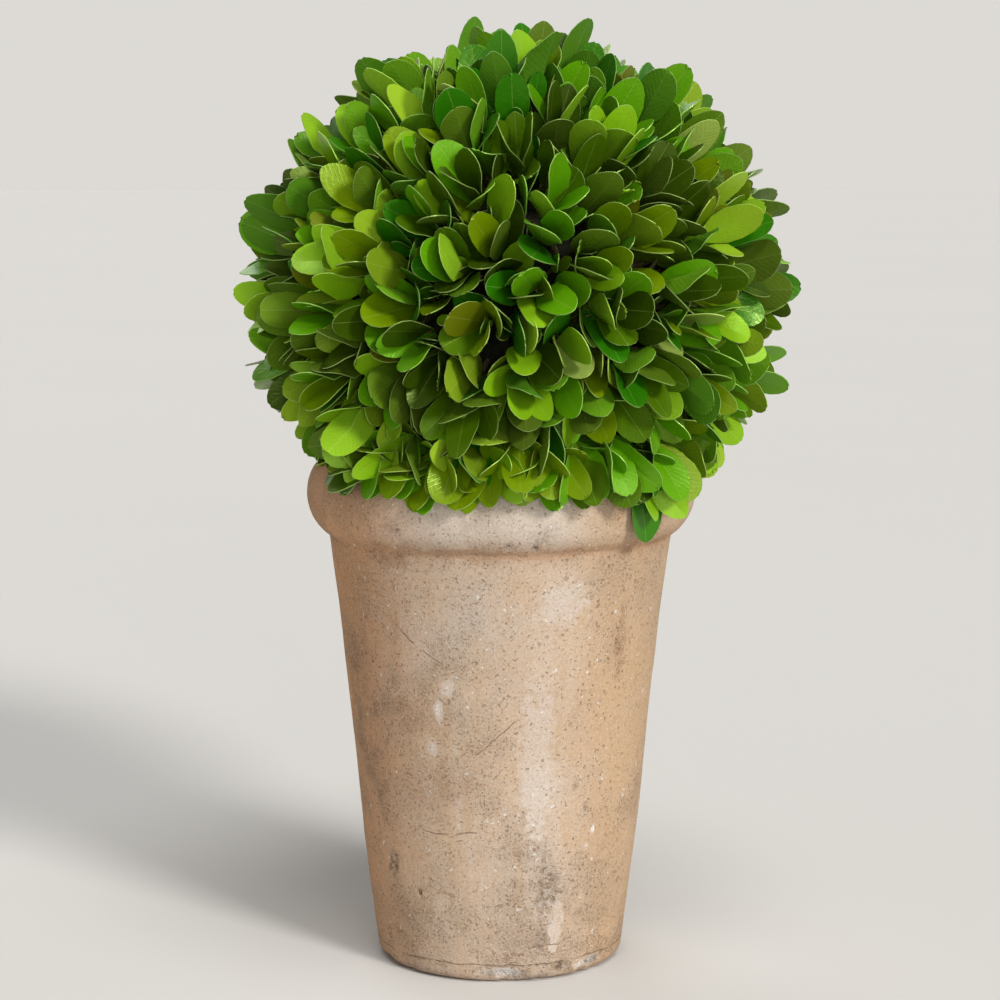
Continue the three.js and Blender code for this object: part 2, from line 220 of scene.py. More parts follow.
class NodeTree:
    """A node tree, with short calls that add nodes and join them."""

    def __init__(self, tree: Group) -> None:
        """Wraps a material's, a world's or a group's tree."""
        self.tree = tree

    def feed(self, node: bpy.types.Node, values: dict) -> None:
        """Sets a node's inputs.

        Args:
            node: The node.
            values: Its inputs, by name or place: a number, a colour or the socket that feeds it.
        """
        for name, value in values.items():
            socket = node.inputs[name]
            if isinstance(value, Socket):
                self.tree.links.new(value, socket)
            else:
                socket.default_value = (*value, 1.0) if socket.type == "RGBA" else value

    def add(self, kind: str, values: dict | None = None, **settings: object) -> bpy.types.Node:
        """Adds a node.

        Args:
            kind: The node's type name.
            values: Its inputs, as feed takes them.
            settings: Its own properties.

        Returns:
            The new node.
        """
        node = self.tree.nodes.new(kind)
        for name, setting in settings.items():
            setattr(node, name, setting)
        self.feed(node, values or {})
        return node

    def effect(self, group: Group, values: dict[str, float]) -> Mapping[str, Socket]:
        """Places a shared effect with values of its own, and gives its outputs."""
        return self.add("ShaderNodeGroup", values, node_tree=group).outputs

    def place(self) -> Socket:
        """The point's place on the object."""
        return self.add("ShaderNodeTexCoord").outputs["Object"]

    def stretched(self, vector: Socket, scale: Triple) -> Socket:
        """A place with each axis scaled."""
        return self.add("ShaderNodeMapping", {"Vector": vector, "Scale": scale}).outputs[0]

    def split(self, vector: Socket) -> Sequence[Socket]:
        """A vector's three parts."""
        return self.add("ShaderNodeSeparateXYZ", {0: vector}).outputs

    def channels(self, colour: Socket) -> Sequence[Socket]:
        """A colour's three channels."""
        return self.add("ShaderNodeSeparateColor", {0: colour}).outputs

    def noise(self, vector: Socket, scale: Number, detail: float = 3.0, rough: float = 0.55) -> Socket:
        """Cloudy noise from 0 to 1: scale clouds for each metre, with finer layers and their strength."""
        values = {"Vector": vector, "Scale": scale, "Detail": detail, "Roughness": rough}
        return self.add("ShaderNodeTexNoise", values).outputs["Fac"]

    def rise(self, value: Socket, low: float, high: float, top: float = 1.0) -> Socket:
        """A smooth rise from 0 at low to top at high, or a fall where low is the larger."""
        values = {"Value": value, "From Min": low, "From Max": high, "To Max": top}
        return self.add("ShaderNodeMapRange", values, interpolation_type="SMOOTHSTEP").outputs[0]

    def maths(self, operation: str, first: Number, second: Number = 0.0) -> Socket:
        """The result of a named operation on one value or two."""
        return self.add("ShaderNodeMath", {0: first, 1: second}, operation=operation).outputs[0]

    def plus(self, first: Number, second: Number) -> Socket:
        """Two values added."""
        return self.maths("ADD", first, second)

    def minus(self, first: Number, second: Number) -> Socket:
        """The first value less the second."""
        return self.maths("SUBTRACT", first, second)

    def times(self, first: Number, second: Number) -> Socket:
        """Two values multiplied."""
        return self.maths("MULTIPLY", first, second)

    def joined(self, operation: str, values: Sequence[Number]) -> Number:
        """Many values joined from the first on by an operation that takes two."""
        return reduce(lambda first, second: self.maths(operation, first, second), values)

    def mix(self, share: Number, first: Tone, second: Tone, blend: str = "MIX") -> Socket:
        """A share of a second colour laid over a first."""
        values = {0: share, 6: first, 7: second}
        return self.add("ShaderNodeMix", values, data_type="RGBA", blend_type=blend).outputs[2]

    def bump(self, height: Socket, strength: float, distance: float) -> Socket:
        """The normals of a surface with relief."""
        values = {"Height": height, "Strength": strength, "Distance": distance}
        return self.add("ShaderNodeBump", values).outputs["Normal"]


def new_material(name: str) -> tuple[Finish, NodeTree, bpy.types.Node]:
    """Makes a material with one Principled shader.

    Args:
        name: The finish's name.

    Returns:
        The material, its tree and its shader node.
    """
    material = bpy.data.materials.new(name)
    material.use_nodes = True
    shader = material.node_tree.nodes["Principled BSDF"]
    return material, NodeTree(material.node_tree), shader


class SharedEffects:
    """Effects that several finishes use, each a node group that is built once."""

    MEAN_WALL_RADIUS = 0.047

    def __init__(self) -> None:
        """Builds the groups."""
        self.grain = self._grain()
        self.waxy = self._waxy()
        self.hairline = self._hairline()

    @staticmethod
    def _group(name: str, inputs: dict[str, float], outputs: Sequence[str]) -> tuple:
        """Makes an empty group.

        Args:
            name: The group's name.
            inputs: Its inputs, each with its first value.
            outputs: Its outputs.

        Returns:
            The group, its tree, the sockets of its inputs, and its output node.
        """
        group = bpy.data.node_groups.new(name, "ShaderNodeTree")
        for title, value in inputs.items():
            socket = group.interface.new_socket(title, in_out="INPUT", socket_type="NodeSocketFloat")
            socket.default_value = value
        for title in outputs:
            group.interface.new_socket(title, in_out="OUTPUT", socket_type="NodeSocketFloat")
        tree = NodeTree(group)
        return group, tree, tree.add("NodeGroupInput").outputs, tree.add("NodeGroupOutput")

    def _grain(self) -> Group:
        """Sandy grain: Coarse and Fine are its clouds, and Height its relief.

        Returns:
            The group.
        """
        sizes = {"Coarse Scale": 70.0, "Fine Scale": 600.0, "Fine Share": 0.5}
        group, tree, given, made = self._group("sandy_grain", sizes, ("Coarse", "Fine", "Height"))
        place = tree.place()
        coarse = tree.noise(place, given["Coarse Scale"], 5.0, 0.62)
        fine = tree.noise(place, given["Fine Scale"], 4.0, 0.7)
        height = tree.plus(coarse, tree.times(fine, given["Fine Share"]))
        tree.feed(made, {"Coarse": coarse, "Fine": fine, "Height": height})
        return group

    def _waxy(self) -> Group:
        """A leaf's uneven wax: Roughness is where it is dull, and Height its veins and faint quilting.

        Returns:
            The group.
        """
        sizes = {"Shine": 0.35, "Spread": 0.2, "Vein Depth": 0.5}
        group, tree, given, made = self._group("leaf_wax", sizes, ("Roughness", "Height"))
        cloud = tree.noise(tree.place(), 240.0, 3.0, 0.6)
        quilt = tree.noise(tree.place(), 800.0, 2.0, 0.5)
        spot = tree.add("ShaderNodeUVMap", uv_map=LEAF_MAP)
        along, across, _ = tree.split(spot.outputs[0])
        slant = tree.times(tree.maths("ABSOLUTE", across), -7.0)
        phase = tree.plus(tree.times(along, 12.0), slant)
        vein = tree.rise(tree.maths("PINGPONG", phase, 0.5), 0.0, 0.16)
        bumps = tree.plus(cloud, tree.times(quilt, 0.5))
        dull = tree.plus(tree.times(cloud, given["Spread"]), given["Shine"])
        relief = tree.plus(tree.times(vein, given["Vein Depth"]), bumps)
        tree.feed(made, {"Roughness": dull, "Height": relief})
        return group

    def _hairline(self) -> Group:
        """A thin, wandering crack round an upright wall: Line is 1 in it.

        Turn is its middle's angle from the front, Height its height there, and Slope its rise.

        Returns:
            The group.
        """
        sizes = {"Turn": 0.0, "Height": 0.05, "Slope": 0.0, "Half Length": 0.01, "Half Width": 0.0002}
        group, tree, given, made = self._group("hairline_crack", sizes, ("Line",))
        place = tree.place()
        x, y, z = tree.split(place)
        turn = tree.maths("ARCTAN2", x, tree.times(y, -1.0))
        across = tree.times(tree.minus(turn, given["Turn"]), self.MEAN_WALL_RADIUS)
        wander = tree.times(tree.minus(tree.noise(place, 110.0, 2.0), 0.5), 0.0030)
        fray = tree.times(tree.minus(tree.noise(place, 700.0, 2.0), 0.5), 0.0009)
        middle = tree.plus(given["Height"], tree.times(across, given["Slope"]))
        rise = tree.minus(tree.minus(z, middle), tree.plus(wander, fray))
        inside = tree.maths("DIVIDE", tree.maths("ABSOLUTE", rise), given["Half Width"])
        along = tree.maths("DIVIDE", tree.maths("ABSOLUTE", across), given["Half Length"])
        line = tree.times(tree.rise(inside, 1.0, 0.4), tree.rise(along, 1.0, 0.75))
        broken = tree.rise(tree.noise(place, 170.0, 2.0), 0.36, 0.47)
        tree.feed(made, {"Line": tree.times(line, broken)})
        return group


class Weather(Enum):
    """What a patch of weathering does to the clay, by its channel in the pot's colour attribute."""

    SCAR = 0
    BLOOM = 1
    # Also carries the brown band under the rim, which is partly painted shade.
    STAIN = 2


@dataclass(frozen=True)
class Hairline:
    """One thin crack in the clay: its middle's angle and height, its rise, and half its length and width."""

    turn_deg: float
    height: float
    slope: float
    half_length: float
    half_width: float

    def line(self, tree: NodeTree, effects: SharedEffects) -> Socket:
        """The crack's mask in a material's tree."""
        return tree.effect(effects.hairline, {
            "Turn": math.radians(self.turn_deg), "Height": self.height, "Slope": self.slope,
            "Half Length": self.half_length, "Half Width": self.half_width,
        })["Line"]


@dataclass(frozen=True)
class LimewashedClay:
    """Fired clay under a worn, sandy coat of limewash. Its scales are clouds or cells for each metre."""

    wash: Colour = (0.568, 0.502, 0.448)
    wash_shade: Colour = (0.462, 0.330, 0.220)
    sand: Colour = (0.492, 0.328, 0.188)
    bare_clay: Colour = (0.365, 0.205, 0.115)
    pit: Colour = (0.250, 0.108, 0.040)
    rim_wash: Colour = (0.612, 0.553, 0.496)
    # Warm brown on the pot's left: partly stain, partly painted shade on the side away from the key light.
    left_stain_and_shade: Colour = (0.500, 0.245, 0.098)
    earth: Colour = (0.200, 0.120, 0.064)
    # Brown of the band under the rim: partly stain, partly painted shade in the recess under the rolled rim.
    groove_stain_and_shade: Colour = (0.430, 0.245, 0.130)
    bloom: Colour = (0.76, 0.77, 0.77)
    crumb: Colour = (0.780, 0.680, 0.560)
    speckle: tuple[Colour, Colour] = ((0.90, 0.85, 0.80), (1.05, 1.07, 1.09))
    attribute: str = "weathering"
    broad_scale: float = 18.0
    patch_scale: float = 60.0
    streak_stretch: Triple = (170.0, 170.0, 6.0)
    crust_scale: float = 1400.0
    flake_scale: float = 560.0
    fleck_scale: float = 420.0
    crumb_scale: float = 1330.0
    rare_pore_scale: float = 260.0
    pore_kinds: Pairs = ((820.0, 0.15), (1450.0, 0.55))
    relief_depth: float = 0.0010
    hairlines: tuple[Hairline, ...] = (
        Hairline(-18.0, 0.0500, 0.04, 0.0120, 0.00026),
        Hairline(-12.0, 0.0478, 0.02, 0.0085, 0.00018),
        Hairline(-1.0, 0.0820, 0.90, 0.0070, 0.00026),
        Hairline(-35.0, 0.1141, -0.97, 0.0036, 0.00048),
        Hairline(-24.0, 0.1070, -0.70, 0.0032, 0.00026),
        Hairline(20.0, 0.0119, 0.00, 0.0066, 0.00020),
        Hairline(0.0, 0.0058, 0.00, 1.0, 0.00026),
        Hairline(150.0, 0.0980, 0.35, 0.0120, 0.00028),
        Hairline(-110.0, 0.0400, -0.20, 0.0100, 0.00026),
    )
    # The band under the rim: partly stain, partly painted shade where the rolled rim overhangs the neck.
    groove: Hairline = Hairline(0.0, 0.1412, 0.0, 1.0, 0.0026)

    def material(self, effects: SharedEffects) -> Finish:
        """Builds the finish.

        Args:
            effects: The shared node groups.

        Returns:
            The material.
        """
        material, tree, shader = new_material("limewashed_clay")
        on = self.masks(tree, effects)
        tree.feed(shader, {
            "Base Color": self.tone(tree, on),
            "Normal": tree.bump(self.relief(tree, on), 1.0, self.relief_depth),
            "Roughness": tree.plus(tree.times(on["patch"], 0.14), 0.80),
            "Specular IOR Level": 0.25,
        })
        return material

    def masks(self, tree: NodeTree, effects: SharedEffects) -> dict[str, Socket]:
        """Works out where each kind of wear shows, and the band under the rim that is partly painted shade.

        Args:
            tree: The material's tree.
            effects: The shared node groups.

        Returns:
            The masks and noises, by what they show.
        """
        place = tree.place()
        x, _, z = tree.split(place)
        weather = tree.add("ShaderNodeAttribute", attribute_name=self.attribute)
        scarred, bloomed, stained = tree.channels(weather.outputs["Color"])
        grain = tree.effect(effects.grain, {"Coarse Scale": 110.0, "Fine Scale": 1300.0, "Fine Share": 0.5})
        broad = tree.noise(place, self.broad_scale, 3.0)
        patch = tree.noise(place, self.patch_scale, 6.0, 0.65)
        crust = tree.noise(place, self.crust_scale, 4.0, 0.76)
        smooth = tree.rise(bloomed, 0.02, 0.30)

        left = tree.rise(x, 0.022, -0.012, 0.42)
        worn = tree.joined("ADD", (tree.rise(broad, 0.36, 0.62, 0.62), left, tree.times(stained, 0.5)))
        lower = tree.minus(1.0, tree.rise(z, 0.096, 0.122, 0.45))
        crumbling = tree.rise(tree.minus(worn, smooth), 0.0, 0.9)
        sandy = tree.joined("MULTIPLY", (crumbling, tree.rise(patch, 0.36, 0.62), lower))

        spared = tree.minus(1.0, tree.rise(z, 0.140, 0.149, 0.50))
        pitted = tree.times(tree.plus(sandy, 0.08), spared)
        holes = [
            self.pores(tree, place, scale, crust, tree.times(pitted, share))
            for scale, share in self.pore_kinds
        ]
        holes.append(tree.rise(tree.noise(place, self.rare_pore_scale, 2.0, 0.5), 0.290, 0.250))
        strewn = tree.joined("ADD", (tree.times(sandy, 0.42), tree.times(scarred, 0.5), 0.05))
        return dict(
            x=x, z=z, scarred=scarred, bloomed=bloomed, stained=stained, broad=broad, patch=patch,
            crust=crust, smooth=smooth, sandy=sandy, grain=grain["Height"],
            speckled=tree.rise(grain["Fine"], 0.36, 0.64),
            streaks=tree.noise(tree.stretched(place, self.streak_stretch), 1.0, 4.0, 0.6),
            holes=tree.joined("MAXIMUM", holes),
            crumbs=self.pores(tree, place, self.crumb_scale, crust, strewn),
            flaked=tree.noise(place, self.flake_scale, 3.0, 0.6),
            flecks=tree.rise(tree.noise(place, self.fleck_scale, 2.0, 0.5), 0.705, 0.735),
            cracks=tree.joined("MAXIMUM", [hairline.line(tree, effects) for hairline in self.hairlines]),
            groove=self.groove.line(tree, effects),
        )

    def tone(self, tree: NodeTree, on: dict[str, Socket]) -> Socket:
        """Lays the clay's colours over each other, from the wash to its cracks.

        Args:
            tree: The material's tree.
            on: What masks returned.

        Returns:
            The colour.
        """
        dusty = tree.times(tree.rise(on["bloomed"], 0.38, 0.85), tree.rise(on["crust"], 0.40, 0.54))
        layers = (
            (tree.rise(on["patch"], 0.60, 0.38, 0.55), self.wash_shade),
            (tree.rise(on["broad"], 0.60, 0.40, 0.45), self.sand),
            (tree.rise(on["streaks"], 0.52, 0.70, 0.50), self.wash_shade),
            (tree.rise(on["streaks"], 0.46, 0.28, 0.40), self.wash),
            (tree.rise(on["z"], 0.136, 0.149, 0.65), self.rim_wash),
            # Left side: partly stain, partly painted shade.
            (tree.rise(on["x"], -0.016, -0.050, 0.80), self.left_stain_and_shade),
            # Sandier, darker right side: partly the yellow-brown streaks there, partly painted shade that
            # tones down the side the key light falls on.
            (tree.rise(on["x"], 0.012, 0.036, 0.74), self.sand),
            (tree.times(on["smooth"], 0.55), self.wash),
            (tree.times(on["sandy"], 0.55), self.sand),
            (tree.times(on["stained"], tree.rise(on["patch"], 0.26, 0.62, 0.85)), self.bare_clay),
            (dusty, self.bloom),
            # Band under the rim: partly stain, partly painted shade.
            (tree.times(on["groove"], 0.56), self.groove_stain_and_shade),
            (tree.times(on["holes"], 0.38), self.pit),
            (tree.times(on["scarred"], tree.rise(on["flaked"], 0.53, 0.41, 0.72)), self.earth),
            (tree.times(on["scarred"], tree.rise(on["flaked"], 0.53, 0.62, 0.42)), self.bloom),
            (tree.times(on["crumbs"], 0.42), self.crumb),
            (tree.times(on["flecks"], 0.62), self.bloom),
            (tree.times(on["cracks"], 0.50), self.earth),
        )
        colour = self.wash
        for share, laid in layers:
            colour = tree.mix(share, colour, laid)
        return tree.mix(1.0, colour, tree.mix(on["speckled"], *self.speckle), "MULTIPLY")

    def relief(self, tree: NodeTree, on: dict[str, Socket]) -> Socket:
        """Adds up the clay's relief: its crust, chips, pores, crumbs, cracks and grain.

        Args:
            tree: The material's tree.
            on: What masks returned.

        Returns:
            The height.
        """
        rough = tree.joined("ADD", (tree.times(on["sandy"], 0.85), tree.times(on["scarred"], 0.8), 0.16))
        return tree.joined("ADD", (
            tree.times(tree.minus(on["crust"], 0.5), rough),
            tree.times(tree.minus(on["flaked"], 0.5), tree.times(on["scarred"], 1.8)),
            tree.times(on["holes"], -0.26),
            tree.times(on["crumbs"], 0.18),
            tree.times(on["cracks"], -0.45),
            tree.times(on["grain"], 0.35),
        ))

    @staticmethod
    def pores(tree: NodeTree, place: Socket, scale: float, ragged: Socket, share: Socket) -> Socket:
        """Deals out single small pores or grains with uneven edges.

        Args:
            tree: The material's tree.
            place: Where they are read.
            scale: How many there is room for along each metre.
            ragged: Noise round 0.5 that makes their edges uneven.
            share: How many of them there are, from 0 to 1.

        Returns:
            The mask, which is 1 inside them.
        """
        cells = tree.add("ShaderNodeTexVoronoi", {"Vector": place, "Scale": scale})
        chance = tree.channels(cells.outputs["Color"])[0]
        edge = tree.times(tree.minus(ragged, 0.5), 1.3)
        reach = tree.plus(cells.outputs["Distance"], edge)
        chosen = tree.rise(tree.plus(chance, share), 0.94, 1.0)
        return tree.times(tree.rise(reach, 0.40, 0.22), chosen)


@dataclass(frozen=True)
class EarthyFinish:
    """A rough brown finish of two tones, for soil, bark and the near-black middle of the ball, whose darkness
    is painted shade.
    """

    name: str
    dark: Colour
    light: Colour
    coarse_scale: float
    fine_scale: float
    stretch: Triple = (1.0, 1.0, 1.0)
    bump_depth: float = 0.0006

    def material(self, effects: SharedEffects) -> Finish:
        """Builds the finish.

        Args:
            effects: The shared node groups.

        Returns:
            The material.
        """
        material, tree, shader = new_material(self.name)
        sizes = {"Coarse Scale": self.coarse_scale, "Fine Scale": self.fine_scale, "Fine Share": 0.8}
        grain = tree.effect(effects.grain, sizes)
        lines = tree.noise(tree.stretched(tree.place(), self.stretch), self.coarse_scale, 4.0, 0.6)
        tone = tree.rise(tree.plus(grain["Fine"], lines), 0.8, 1.25)
        tree.feed(shader, {
            "Base Color": tree.mix(tone, self.dark, self.light),
            "Normal": tree.bump(tree.plus(grain["Height"], lines), 0.9, self.bump_depth),
            "Roughness": 0.9,
            "Specular IOR Level": 0.2,
        })
        return material


class LeafPart(Enum):
    """The parts of a leaf that have a colour of their own, by material slot."""

    UPPER = 0
    UNDER = 1
    MIDRIB = 2
    # The edge faces: their paler, whiter colour is partly the leaf's pale margin, partly painted highlight.
    RIM_AND_HIGHLIGHT = 3


@dataclass(frozen=True)
class LeafTint:
    """One kind of leaf, by the colour of its upper face.

    Its share is how often a spray has it. The share is multiplied by low_share in the lower part of
    the ball, and by high_share near its top. The low shares deal out lighter, fresher tints and fewer
    dark ones there: painted light, for the light that falls on the ball's lower front.
    """

    name: str
    upper: Colour
    share: float
    low_share: float = 1.0
    high_share: float = 1.0
    shine: float = 0.22
    sheen: Colour = (0.68, 1.0, 0.26)

    PALER = {
        LeafPart.UPPER: ((0.0, 0.0, 0.0), 0.0),
        LeafPart.UNDER: ((0.200, 0.310, 0.030), 0.26),
        LeafPart.MIDRIB: ((0.330, 0.440, 0.100), 0.26),
        # Rim colour: partly pale margin, partly painted highlight along the edge.
        LeafPart.RIM_AND_HIGHLIGHT: ((0.360, 0.490, 0.160), 0.38),
    }

    def colour(self, part: LeafPart) -> Colour:
        """The plain base colour of one part of the leaf."""
        pale, share = self.PALER[part]
        return tuple(own + (other - own) * share for own, other in zip(self.upper, pale))

    def share_at(self, height: float) -> float:
        """Finds how often a spray has this tint where it stands.

        Args:
            height: How high the spray's way points, from -1 straight down to 1 straight up.

        Returns:
            The share there.
        """
        low = 1 + (self.low_share - 1) * smoothstep(-0.15, -0.45, height)
        high = 1 + (self.high_share - 1) * smoothstep(0.35, 0.65, height)
        return self.share * low * high

    def material(self, part: LeafPart, effects: SharedEffects) -> Finish:
        """Builds the finish of one part of the leaf, on a plain base colour.

        Args:
            part: The part of the leaf.
            effects: The shared node groups.

        Returns:
            The material.
        """
        material, tree, shader = new_material(f"{self.name}_{part.name.lower()}")
        dull = part is LeafPart.UNDER
        wax = tree.effect(effects.waxy, {
            "Shine": self.shine + 0.2 if dull else self.shine,
            "Spread": 0.20,
            "Vein Depth": 0.36 if dull else 0.14,
        })
        tree.feed(shader, {
            "Base Color": self.colour(part),
            "Normal": tree.bump(wax["Height"], 0.7, 0.0002),
            "Roughness": wax["Roughness"],
            "Specular IOR Level": 0.28 if dull else 0.72,
            "Specular Tint": self.sheen,
        })
        return material


# The low_share column deals lighter tints low on the ball: painted light on its lower front.
TINTS = (
    LeafTint("deep", (0.030, 0.060, 0.001), 0.19, 0.35, 0.60),
    LeafTint("emerald", (0.020, 0.142, 0.001), 0.11, 0.80, 1.70),
    LeafTint("forest", (0.058, 0.126, 0.001), 0.21, 0.75, 0.80),
    LeafTint("moss", (0.140, 0.226, 0.001), 0.16, 1.50, 0.50),
    LeafTint("meadow", (0.096, 0.290, 0.002), 0.17, 1.30, 1.70),
    LeafTint("fresh", (0.200, 0.400, 0.006), 0.11, 1.50, 1.40, 0.27),
    LeafTint("lime", (0.275, 0.440, 0.018), 0.040, 1.00, 1.00, 0.30),
    LeafTint("pale", (0.300, 0.410, 0.075), 0.016, 1.00, 1.60, 0.40),
    LeafTint("olive", (0.118, 0.142, 0.002), 0.024, 1.00, 0.50, 0.32),
)


def dealt_tint(random: SeededRandom, height: float) -> int:
    """The place in TINTS of a tint dealt out by its share at a height on the ball."""
    return random.pick([tint.share_at(height) for tint in TINTS])


@dataclass(frozen=True)
class Scar:
    """One worn, bloomed or stained patch on the pot, by its turn from the front and its height."""

    kind: Weather
    turn_deg: float
    height: float
    half_width: float
    half_height: float
    strength: float
    depth: float = 0.0

    def reach(self, turn: float, radius: float, height: float) -> float:
        """How far a point of the pot is from the patch's middle, where 1 is the patch's edge."""
        away = (turn - math.radians(self.turn_deg) + math.pi) % FULL_TURN - math.pi
        return math.hypot(away * radius / self.half_width, (height - self.height) / self.half_height)


SCARS = tuple(Scar(kind, *sizes) for kind, rows in {
    Weather.SCAR: (
        (20.5, 0.0300, 0.0048, 0.0130, 0.62, 0.0009),
        (18.0, 0.0130, 0.0030, 0.0060, 0.50, 0.0005),
        (-50.5, 0.0365, 0.0032, 0.0060, 1.0, 0.0009),
        (-36.0, 0.0285, 0.0011, 0.0017, 1.0, 0.0008),
        (36.0, 0.0560, 0.0016, 0.0034, 0.70, 0.0006),
        (30.0, 0.0640, 0.0012, 0.0020, 0.70, 0.0005),
        (10.5, 0.1440, 0.0018, 0.0032, 1.0, 0.0011),
        (13.0, 0.1465, 0.0048, 0.0056, 0.35, 0.0004),
        (2.5, 0.1436, 0.0014, 0.0018, 0.70, 0.0006),
        (-33.0, 0.1480, 0.0050, 0.0050, 0.30, 0.0003),
        (48.0, 0.0030, 0.0050, 0.0030, 1.0, 0.0016),
        (4.0, 0.0020, 0.0080, 0.0024, 0.60, 0.0010),
        (29.0, 0.0040, 0.0040, 0.0022, 1.0, 0.0010),
        (-60.0, 0.0100, 0.0016, 0.0035, 0.60, 0.0006),
        (128.0, 0.0520, 0.0036, 0.0110, 0.80, 0.0008),
        (172.0, 0.0035, 0.0070, 0.0030, 1.0, 0.0014),
        (-108.0, 0.0180, 0.0024, 0.0070, 0.80, 0.0007),
        (101.0, 0.1452, 0.0028, 0.0034, 0.70, 0.0010),
        (-150.0, 0.1440, 0.0034, 0.0040, 0.70, 0.0009),
    ),
    Weather.BLOOM: (
        (-22.7, 0.0903, 0.0018, 0.0060, 0.62),
        (-19.0, 0.0975, 0.0030, 0.0030, 0.52),
        (-26.0, 0.0780, 0.0022, 0.0040, 0.50),
        (1.0, 0.0030, 0.0090, 0.0026, 0.90),
        (46.0, 0.0035, 0.0070, 0.0028, 0.90),
        (40.0, 0.0500, 0.0014, 0.0020, 0.80),
        (37.0, 0.0440, 0.0010, 0.0014, 0.70),
        (25.0, 0.0180, 0.0032, 0.0120, 0.40),
        (14.0, 0.0750, 0.0075, 0.0340, 0.34),
        (22.0, 0.1250, 0.0110, 0.0110, 0.30),
        (150.0, 0.0850, 0.0070, 0.0260, 0.34),
        (-95.0, 0.0600, 0.0050, 0.0240, 0.34),
    ),
    Weather.STAIN: (
        (47.0, 0.1100, 0.0036, 0.0160, 0.60),
        (-37.0, 0.1385, 0.0070, 0.0060, 0.75),
        (36.0, 0.1530, 0.0030, 0.0090, 0.45),
        (-60.0, 0.0850, 0.0130, 0.0480, 0.55),
        (-74.0, 0.1500, 0.0200, 0.0110, 0.45),
        (-33.0, 0.0900, 0.0150, 0.0170, 0.30),
        (-20.0, 0.0600, 0.0170, 0.0150, 0.22),
        (160.0, 0.0450, 0.0140, 0.0240, 0.45),
        (95.0, 0.1000, 0.0100, 0.0300, 0.40),
    ),
}.items() for sizes in rows)


